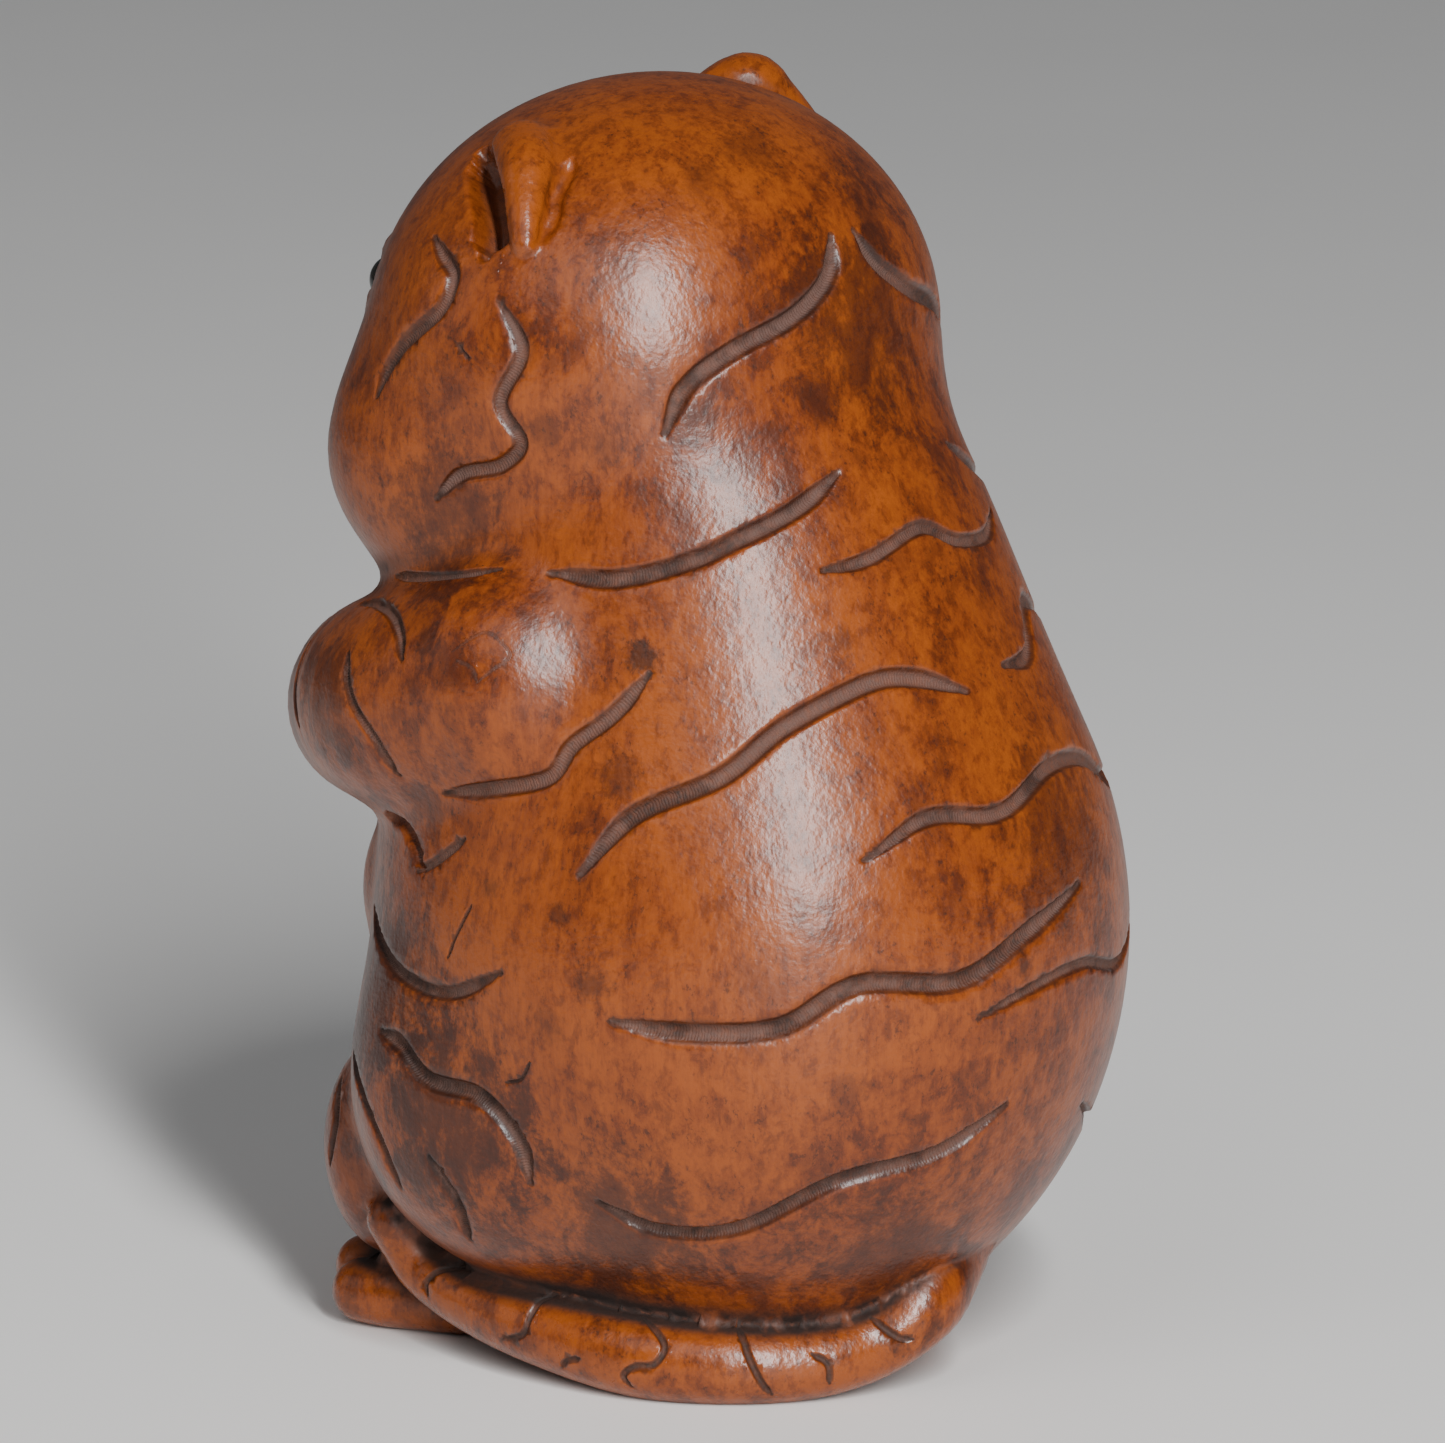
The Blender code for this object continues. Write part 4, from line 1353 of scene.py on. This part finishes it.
@dataclass
class CarvedCat:
    """The carved boxwood, worked finer than the solid that it stands for.

    Sizes are in hundredths of the height. From socket_reach to socket_shade_reach, all but lid_height
    are shares of a socket's radius.

    Attributes:
        form: The uncarved cat.
        carving: Its grooves.
        voxel: The size of the first, even mesh.
        skin_rounds: Corrections that draw that mesh onto the form.
        largest_pull: The largest later correction.
        form_margin: How far from a groove's edge the skin is split once.
        shade_limit: How sheltered or worn a point is where the skin is split once.
        refine_margin: How far from a groove's edge the skin is split twice.
        thin_margin: How far from a fine groove's edge the skin is split three times.
        thin_width: The width under which a groove is fine.
        deep_share: The depth share past which a groove is fine.
        socket_gap: The space round an eye bead.
        socket_rounds: How many times the skin round a socket is split.
        socket_reach: How far out that is.
        socket_rim: Where the skin starts to fall into the socket.
        lid_height: How high the lid stands.
        lid_middle: Where the lid is highest.
        lid_width: How broad the lid is.
        lid_reach: Where the lid ends.
        socket_shade_reach: Where the painted shade in a socket ends and where it is full.
        shade_steps: How far out shelter is measured.
        shade_cap: The most that each of those measures counts.
        wear_depth: How deep the form is measured for wear.
        wear_gain: How quickly wear grows on thin forms.
        wear_start: How much of it stays hidden.
        weld: Points nearer than this are merged.
        placing: Where the form stands in the solid's space.
        stains_and_shade: The dark patches; the small ones are spots in the patina, the broad ones
            painted shade.
    """

    form: CatForm
    carving: Carving
    voxel: float = 1.2
    skin_rounds: int = 4
    largest_pull: float = 0.5
    form_margin: float = 1.6
    shade_limit: float = 0.12
    refine_margin: float = 0.4
    thin_margin: float = 0.45
    thin_width: float = 1.1
    deep_share: float = 0.5
    socket_gap: float = 0.2
    socket_rounds: int = 2
    socket_reach: float = 1.6
    socket_rim: float = 1.16
    lid_height: float = 0.16
    lid_middle: float = 1.34
    lid_width: float = 0.2
    lid_reach: float = 2.0
    socket_shade_reach: tuple[float, float] = (1.2, 1.02)
    shade_steps: tuple[float, ...] = (0.7, 1.5, 3.0, 5.0)
    shade_cap: float = 1.2
    wear_depth: float = 4.2
    wear_gain: float = 1.6
    wear_start: float = 0.25
    weld: float = 0.002
    placing: Placing = field(init=False)
    stains_and_shade: tuple[StainAndShade, ...] = (
        StainAndShade((24, 57.5), 2.2, 0.7, False),
        StainAndShade((13, 39), 1.4, 0.6),
        StainAndShade((19, 34), 2.8, 0.6),
        StainAndShade((60, 58.5), 2.6, 0.5),
        StainAndShade((21, 49), 3.0, 0.5),
        StainAndShade((12, 30.5), 3.0, 0.4),
        StainAndShade((56, 26.5), 2.6, 0.4),
        StainAndShade((83, 34), 2.0, 0.7),
        StainAndShade((0, 40), 2.0, 0.4, False),
        StainAndShade((43, 35), 3.0, 0.25),
        StainAndShade((53, 92.5), 5.0, 0.4),
        StainAndShade((30, 91), 4.0, 0.4),
        StainAndShade((31, 74.5), 2.8, 0.4),
        StainAndShade((12, 72.5), 3.2, 0.4),
        StainAndShade((1, 73.5), 2.6, 0.4),
        StainAndShade((49, 40.5), 3.0, 0.3),
        StainAndShade((-16, 16.5), 5.0, 0.6),
        # The eight broad patches below are painted shade: they darken the body low down, on its
        # front-left and at its back, and the back of the head.
        StainAndShade((-8, 22), 12.0, 0.8),
        StainAndShade((-30, 30), 14.0, 0.8),
        StainAndShade((-34, 52), 8.0, 0.6),
        StainAndShade((70, 12), 12.0, 0.6),
        StainAndShade((20, 14), 12.0, 0.7),
        StainAndShade((95, 42), 12.0, 0.45),
        StainAndShade((90, 80), 12.0, 0.6),
        StainAndShade((-20, 66), 9.0, 0.6),
        # The patches from here on are spots in the patina again.
        StainAndShade((22, 10.5), 4.0, 0.35),
        StainAndShade((-13, 58), 2.4, 0.5),
        StainAndShade((-17, 44.5), 3.6, 0.5),
        StainAndShade((115, 87), 6.0, 0.5),
        StainAndShade((150, 60), 6.0, 0.4),
        StainAndShade((200, 30), 7.0, 0.4),
        StainAndShade((-110, 50), 6.0, 0.3),
        StainAndShade((-90, 20), 8.0, 0.4),
    )

    def build(self) -> bpy.types.Object:
        """Builds the carved cat in its place.

        Returns:
            The finished piece.
        """
        cat = bpy.data.objects.new("carved_cat", self.rough_shells())
        bpy.context.scene.collection.objects.link(cat)
        self.make_skin(cat)
        self.placing = Placing.of(cat.data)
        lines = self.carving.lines(self.form)
        sockets = self.eye_sockets()
        bent = self.bent_places(cat.data)
        self.refine(cat, bent | near_lines(cat.data, lines, self.form_margin))
        self.refine(cat, near_lines(cat.data, lines, self.refine_margin))
        fine = [line for line in lines if self.is_fine(line)]
        self.refine(cat, near_lines(cat.data, fine, self.thin_margin))
        for _ in range(self.socket_rounds):
            self.refine(cat, self.near_sockets(cat.data, sockets))
        sheltered, worn = self.shades(cat.data)
        # The shelter share is stored for the painted shade in the crevices.
        store_numbers(cat.data, "crevice", sheltered)
        store_numbers(cat.data, "worn", worn)
        wood = build_boxwood(BoxwoodFinish(), self.stain_and_shade_places())
        self.carve(cat, lines, wood)
        self.sink_sockets(cat, sockets)
        self.cut_base(cat)
        self.fit(cat)
        cat.data.materials.clear()
        cat.data.materials.append(wood)
        cat.data.shade_smooth()
        return cat

    def is_fine(self, line: GrooveLine) -> bool:
        """Returns whether a groove needs a finer skin than the others."""
        return 2 * line.half_widths.max() < self.thin_width or line.depth_share > self.deep_share

    def rough_shells(self) -> bpy.types.Mesh:
        """Makes spheres for every mass and along every run.

        Returns:
            One mesh of overlapping shells.
        """
        shells = bmesh.new()
        for centre, size, _ in self.form.balls:
            place = Matrix.Translation(centre) @ Matrix.Diagonal((*size, 1.0))
            bmesh.ops.create_icosphere(shells, subdivisions=4, radius=1.0, matrix=place)
        for rows, _ in self.form.tubes:
            for x, y, z, radius in rows:
                place = Matrix.Translation((x, y, z))
                bmesh.ops.create_icosphere(shells, subdivisions=3, radius=radius, matrix=place)
        mesh = bpy.data.meshes.new("rough")
        shells.to_mesh(mesh)
        shells.free()
        return mesh

    def make_skin(self, cat: bpy.types.Object) -> None:
        """Remeshes the shells into one skin and draws it onto the form.

        Args:
            cat: The cat, as overlapping shells.
        """
        remesh = cat.modifiers.new("one skin", "REMESH")
        remesh.mode = "VOXEL"
        remesh.voxel_size = self.voxel
        applied(cat)
        set_mesh_points(cat.data, self.form.onto_skin(mesh_points(cat.data), self.skin_rounds))

    def bent_places(self, skin: bpy.types.Mesh) -> np.ndarray:
        """Returns which points of a skin lie where the form bends inward or is thin."""
        sheltered, worn = self.shades(skin)
        return (sheltered > self.shade_limit) | (worn > self.shade_limit)

    def near_sockets(self, skin: bpy.types.Mesh, sockets: list[Socket]) -> np.ndarray:
        """Finds the points of a skin about the eye sockets.

        Args:
            skin: The skin's mesh.
            sockets: The eye sockets.

        Returns:
            Whether each point is near.
        """
        away = [np.linalg.norm(mesh_points(skin) - socket.centre, axis=1) / socket.radius
                for socket in sockets]
        return np.min(away, axis=0) < self.socket_reach

    def refine(self, cat: bpy.types.Object, near: np.ndarray) -> None:
        """Splits the skin's edges where it is marked and draws it onto the form again.

        Args:
            cat: The cat.
            near: Whether each point is marked.
        """
        split_edges(cat.data, near)
        points = mesh_points(cat.data)
        pull = np.clip(self.form.distance(points), -self.largest_pull, self.largest_pull)
        set_mesh_points(cat.data, points - mesh_normals(cat.data) * pull[:, None])

    def carve(self, cat: bpy.types.Object, lines: list[GrooveLine],
              finish: bpy.types.Material) -> None:
        """Sinks the grooves with the gouge tree.

        Args:
            cat: The cat.
            lines: The grooves' lines.
            finish: The material that the tree sets.
        """
        wires = self.carving.wires(lines)
        bpy.context.scene.collection.objects.link(wires)
        tree, names = GougeTree().build(finish)
        gouge = cat.modifiers.new("gouge", "NODES")
        gouge.node_group = tree
        gouge[names["Wires"]] = wires
        gouge[names["Depth Scale"]] = 1.0
        gouge[names["Floor Share"]] = self.carving.floor_share
        applied(cat)
        bpy.data.objects.remove(wires, do_unlink=True)

    def eye_sockets(self) -> list[Socket]:
        """Finds the socket of each eye, from the box of its solid.

        Returns:
            The sockets, left first.
        """
        found = []
        for node in ("left_eye", "right_eye"):
            low, high = (np.array(corner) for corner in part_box(node))
            centre = self.placing.returned((low + high) / 2)
            radius = (high - low).min() / 2 / self.placing.scale + self.socket_gap
            _, rise = self.form.slope(centre[None, :])
            found.append(Socket(centre, radius, rise[0] / np.linalg.norm(rise[0])))
        return found

    def sink_sockets(self, cat: bpy.types.Object, sockets: list[Socket]) -> None:
        """Takes the skin back round each eye, raises a low lid about it and marks the socket to be
        painted with shade.

        Args:
            cat: The cat.
            sockets: The eye sockets.
        """
        points = mesh_points(cat.data)
        stored = np.empty(len(points))
        cat.data.attributes["crevice"].data.foreach_get("value", stored)
        for socket in sockets:
            offset = points - socket.centre
            depth = offset @ socket.facing
            away = np.linalg.norm(offset - depth[:, None] * socket.facing, axis=1) / socket.radius
            front = (depth > -socket.radius) & (away < self.lid_reach)
            floor = -socket.radius * np.sqrt(np.clip(1.0 - away**2, 0.0, 1.0))
            taken = front * smooth_step(away, self.socket_rim, 1.0)
            bulge = np.exp(-np.square((away - self.lid_middle) / self.lid_width))
            move = front * self.lid_height * bulge - (depth - floor) * taken
            points = points + move[:, None] * socket.facing
            # Painted shade: the socket is marked as fully sheltered, so the wood is painted black
            # there.
            stored = np.maximum(stored, front * smooth_step(away, *self.socket_shade_reach))
        set_mesh_points(cat.data, points)
        store_numbers(cat.data, "crevice", stored)

    def shades(self, skin: bpy.types.Mesh) -> tuple[np.ndarray, np.ndarray]:
        """Measures how sheltered and how worn each point of a skin is; the shelter is later painted as
        shade.

        Args:
            skin: The skin's mesh.

        Returns:
            Both shares for each point.
        """
        points = mesh_points(skin)
        normals = mesh_normals(skin)
        sheltered = np.zeros(len(points))
        for step in self.shade_steps:
            free = self.form.distance(points + normals * step)
            sheltered += np.clip((step - free) / step, 0.0, self.shade_cap) / len(self.shade_steps)
        inside = -self.form.distance(points - normals * self.wear_depth)
        thinness = (self.wear_depth - inside) / self.wear_depth
        return sheltered, np.clip(thinness * self.wear_gain - self.wear_start, 0.0, 1.0)

    def cut_base(self, cat: bpy.types.Object) -> None:
        """Cuts the skin flat at z = 0 and closes it.

        Args:
            cat: The cat.
        """
        work = bmesh.new()
        work.from_mesh(cat.data)
        everything = work.verts[:] + work.edges[:] + work.faces[:]
        cut = bmesh.ops.bisect_plane(work, geom=everything, dist=1e-5, plane_co=(0, 0, 0),
                                     plane_no=(0, 0, 1), clear_inner=True)
        rim = [piece for piece in cut["geom_cut"] if isinstance(piece, bmesh.types.BMEdge)]
        bmesh.ops.edgenet_fill(work, edges=rim)
        bmesh.ops.remove_doubles(work, verts=work.verts[:], dist=self.weld)
        bmesh.ops.triangulate(work, faces=work.faces[:])
        drop_flaps(work)
        bmesh.ops.recalc_face_normals(work, faces=work.faces[:])
        work.to_mesh(cat.data)
        work.free()

    def fit(self, cat: bpy.types.Object) -> None:
        """Scales and moves the form into the box of the solid that it stands for.

        Args:
            cat: The cat.
        """
        points = mesh_points(cat.data)
        low = points.min(axis=0)
        high = points.max(axis=0)
        box_low, box_high = (np.array(corner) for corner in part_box("cat_carving"))
        scale = (box_high - box_low) / (high - low)
        LOG.info("form to box: scale %s, placing %s", scale, self.placing)
        set_mesh_points(cat.data, box_low + (points - low) * scale)

    def stain_and_shade_places(self) -> Iterator[tuple[Vector, float, StainAndShade]]:
        """Places the dark patches, spots in the patina and painted shade, on the skin.

        Returns:
            An iterator over place and radius in metres, and the patch.
        """
        places = np.array([dark_patch.place for dark_patch in self.stains_and_shade], dtype=float)
        spots = self.placing.placed(self.form.skin_places(places[:, 0], places[:, 1]))
        for spot, dark_patch in zip(spots, self.stains_and_shade):
            yield Vector(spot), dark_patch.radius * self.placing.scale, dark_patch


def drop_flaps(work: bmesh.types.BMesh) -> None:
    """Removes the pairs of faces that lie back to back on the same three points.

    Args:
        work: The mesh that is worked on.
    """
    work.verts.index_update()
    sharing: dict[frozenset[int], list[bmesh.types.BMFace]] = {}
    for face in work.faces:
        corners = frozenset(vert.index for vert in face.verts)
        sharing.setdefault(corners, []).append(face)
    flaps = [face for pair in sharing.values() if len(pair) > 1 for face in pair]
    bmesh.ops.delete(work, geom=flaps, context="FACES")
    LOG.info("back to back faces removed: %d", len(flaps))


def smooth_step(values: np.ndarray, start: float, end: float) -> np.ndarray:
    """Returns a smooth step from 0 at start to 1 at end, which may be the smaller."""
    share = np.clip((values - start) / (end - start), 0.0, 1.0)
    return share * share * (3.0 - 2.0 * share)


def split_edges(mesh: bpy.types.Mesh, near: np.ndarray) -> None:
    """Splits the edges whose both ends are marked.

    Args:
        mesh: The mesh.
        near: Whether each point is marked.
    """
    work = bmesh.new()
    work.from_mesh(mesh)
    chosen = [edge for edge in work.edges if all(near[vert.index] for vert in edge.verts)]
    bmesh.ops.subdivide_edges(work, edges=chosen, cuts=1, use_grid_fill=True)
    work.to_mesh(mesh)
    work.free()


def near_line(points: np.ndarray, line: GrooveLine, margin: float) -> np.ndarray:
    """Finds the points near a groove's line.

    Args:
        points: Rows of X, Y and Z.
        line: The groove's line.
        margin: How far outside the groove's edge a point may be.

    Returns:
        Whether each point is near.
    """
    reach = margin + line.half_widths.max()
    low = line.points.min(axis=0) - reach
    high = line.points.max(axis=0) + reach
    close = np.flatnonzero(np.all((points > low) & (points < high), axis=1))
    gap = np.full(len(close), np.inf)
    for start, end in zip(line.points, line.points[1:]):
        along = end - start
        offset = points[close] - start
        share = np.clip(offset @ along / max(along @ along, 1e-12), 0.0, 1.0)
        gap = np.minimum(gap, np.sqrt(np.sum(np.square(offset - share[:, None] * along), axis=1)))
    found = np.zeros(len(points), dtype=bool)
    found[close[gap < reach]] = True
    return found


def near_lines(skin: bpy.types.Mesh, lines: list[GrooveLine], margin: float) -> np.ndarray:
    """Finds the points of a skin near any of the lines.

    Args:
        skin: The skin's mesh.
        lines: The grooves' lines.
        margin: How far outside a groove's edge a point may be.

    Returns:
        Whether each point is near.
    """
    points = mesh_points(skin)
    return np.any([near_line(points, line, margin) for line in lines], axis=0)


@dataclass
class InlaidEyes:
    """The two horn beads in their sockets.

    Attributes:
        segments: Sides of a bead round its axis.
        rings: Rings of a bead from pole to pole.
    """

    segments: int = 48
    rings: int = 32

    def build(self) -> list[bpy.types.Object]:
        """Builds a fine bead in the place of each eye's solid.

        Returns:
            The two pieces, left first.
        """
        horn = build_horn(HornFinish())
        return [self.bead(side, horn) for side in Side]

    def bead(self, side: Side, horn: bpy.types.Material) -> bpy.types.Object:
        """Builds one bead.

        Args:
            side: The side that it is on.
            horn: Its material.

        Returns:
            The piece.
        """
        node = f"{side.name.lower()}_eye"
        low, high = (Vector(corner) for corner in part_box(node))
        middle = (low + high) / 2
        radius = min(high - low) / 2
        work = bmesh.new()
        bmesh.ops.create_uvsphere(work, u_segments=self.segments, v_segments=self.rings,
                                  radius=radius, matrix=Matrix.Translation(middle))
        mesh = bpy.data.meshes.new(f"{side.name.lower()}_bead")
        work.to_mesh(mesh)
        work.free()
        mesh.shade_smooth()
        mesh.materials.append(horn)
        piece = bpy.data.objects.new(f"{side.name.lower()}_horn_bead", mesh)
        bpy.context.scene.collection.objects.link(piece)
        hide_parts(node)
        return piece


@dataclass(frozen=True)
class Lamp:
    """A soft rectangular light that faces the cat.

    Attributes:
        name: The light's name.
        turn: Degrees round from the camera, positive to the viewer's right.
        elevation: Degrees above the floor.
        distance: Metres from the cat.
        size: Width and height in metres.
        power: Watts.
    """

    name: str
    turn: float
    elevation: float
    distance: float
    size: tuple[float, float]
    power: float


@dataclass
class Studio:
    """The floor, the lights and the camera.

    Attributes:
        placing: Where the form stands in the solid's space.
        azimuth: The camera's turn in degrees, where 0 looks along +Y.
        elevation: The camera's degrees above the floor.
        target: What the camera faces, in the form's hundredths.
        distance: How far the camera is from it, in the same.
        half_view: Half of what is seen there, in the same.
        near_limit: The nearest that the camera sees, in metres.
        floor_size: Half the floor's width in metres.
        sky: The colour of the even surround.
        sky_strength: How bright the surround is.
        lamps: The lights.
    """

    placing: Placing
    azimuth: float = 128.0
    elevation: float = 12.5
    target: Point = (-1.5, 1.9, 47.4)
    distance: float = 850.0
    half_view: float = 54.75
    near_limit: float = 0.01
    floor_size: float = 3.0
    sky: Point = (0.85, 0.88, 0.92)
    sky_strength: float = 0.12
    lamps: tuple[Lamp, ...] = (
        Lamp("key strip", 15.0, 30.0, 0.62, (0.045, 0.5), 7.0),
        Lamp("front softbox", -32.0, 45.0, 0.7, (0.4, 0.4), 0.8),
        Lamp("left fill", -85.0, 20.0, 0.9, (0.5, 0.5), 0.5),
    )

    def back(self, azimuth: float, elevation: float) -> Vector:
        """Finds the way from the target towards a viewer.

        Args:
            azimuth: Degrees, where 0 looks along +Y.
            elevation: Degrees above the floor.

        Returns:
            The unit vector.
        """
        turn, rise = math.radians(azimuth), math.radians(elevation)
        level = math.cos(rise)
        return Vector((math.sin(turn) * level, -math.cos(turn) * level, math.sin(rise)))

    def aim(self) -> Vector:
        """Returns the place that the camera and the lights face, in metres."""
        return Vector(self.placing.placed(np.array(self.target)))

    def build(self) -> None:
        """Builds the floor, the lights and the camera."""
        self.floor()
        self.camera()
        self.world()
        for given in self.lamps:
            self.light(given)

    def floor(self) -> None:
        """Builds the pale floor."""
        work = bmesh.new()
        bmesh.ops.create_grid(work, x_segments=1, y_segments=1, size=self.floor_size)
        mesh = bpy.data.meshes.new("floor")
        work.to_mesh(mesh)
        work.free()
        mesh.materials.append(build_floor_finish(FloorFinish()))
        floor = bpy.data.objects.new("studio_floor", mesh)
        bpy.context.scene.collection.objects.link(floor)

    def camera(self) -> None:
        """Builds the camera at the photograph's angle."""
        data = bpy.data.cameras.new("view")
        data.angle = 2 * math.atan(self.half_view / self.distance)
        data.clip_start = self.near_limit
        camera = bpy.data.objects.new("view", data)
        back = self.back(self.azimuth, self.elevation)
        camera.location = self.aim() + back * self.distance * self.placing.scale
        camera.rotation_euler = back.to_track_quat("Z", "Y").to_euler()
        bpy.context.scene.collection.objects.link(camera)
        bpy.context.scene.camera = camera

    def world(self) -> None:
        """Sets a soft, even surround."""
        world = bpy.data.worlds.new("soft surround")
        world.use_nodes = True
        surround = world.node_tree.nodes["Background"]
        surround.inputs["Color"].default_value = (*self.sky, 1.0)
        surround.inputs["Strength"].default_value = self.sky_strength
        bpy.context.scene.world = world

    def light(self, given: Lamp) -> None:
        """Builds one light.

        Args:
            given: Its place, size and power.
        """
        data = bpy.data.lights.new(given.name, "AREA")
        data.shape = "RECTANGLE"
        data.size, data.size_y = given.size
        data.energy = given.power
        lamp = bpy.data.objects.new(given.name, data)
        back = self.back(self.azimuth + given.turn, given.elevation)
        lamp.location = self.aim() + back * given.distance
        lamp.rotation_euler = back.to_track_quat("Z", "Y").to_euler()
        bpy.context.scene.collection.objects.link(lamp)


def main() -> None:
    """Builds the cat, its eyes and the studio."""
    logging.basicConfig(level=logging.INFO, format="%(message)s")
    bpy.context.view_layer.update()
    carver = CarvedCat(CatForm(), Carving())
    cat = carver.build()
    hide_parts("cat_carving")
    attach(cat, "root")
    LOG.info("carved cat: %d faces", len(cat.data.polygons))
    for bead in InlaidEyes().build():
        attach(bead, "root")
        LOG.info("%s: %d faces", bead.name, len(bead.data.polygons))
    Studio(carver.placing).build()
    bpy.context.view_layer.update()


if __name__ == "__main__":
    main()
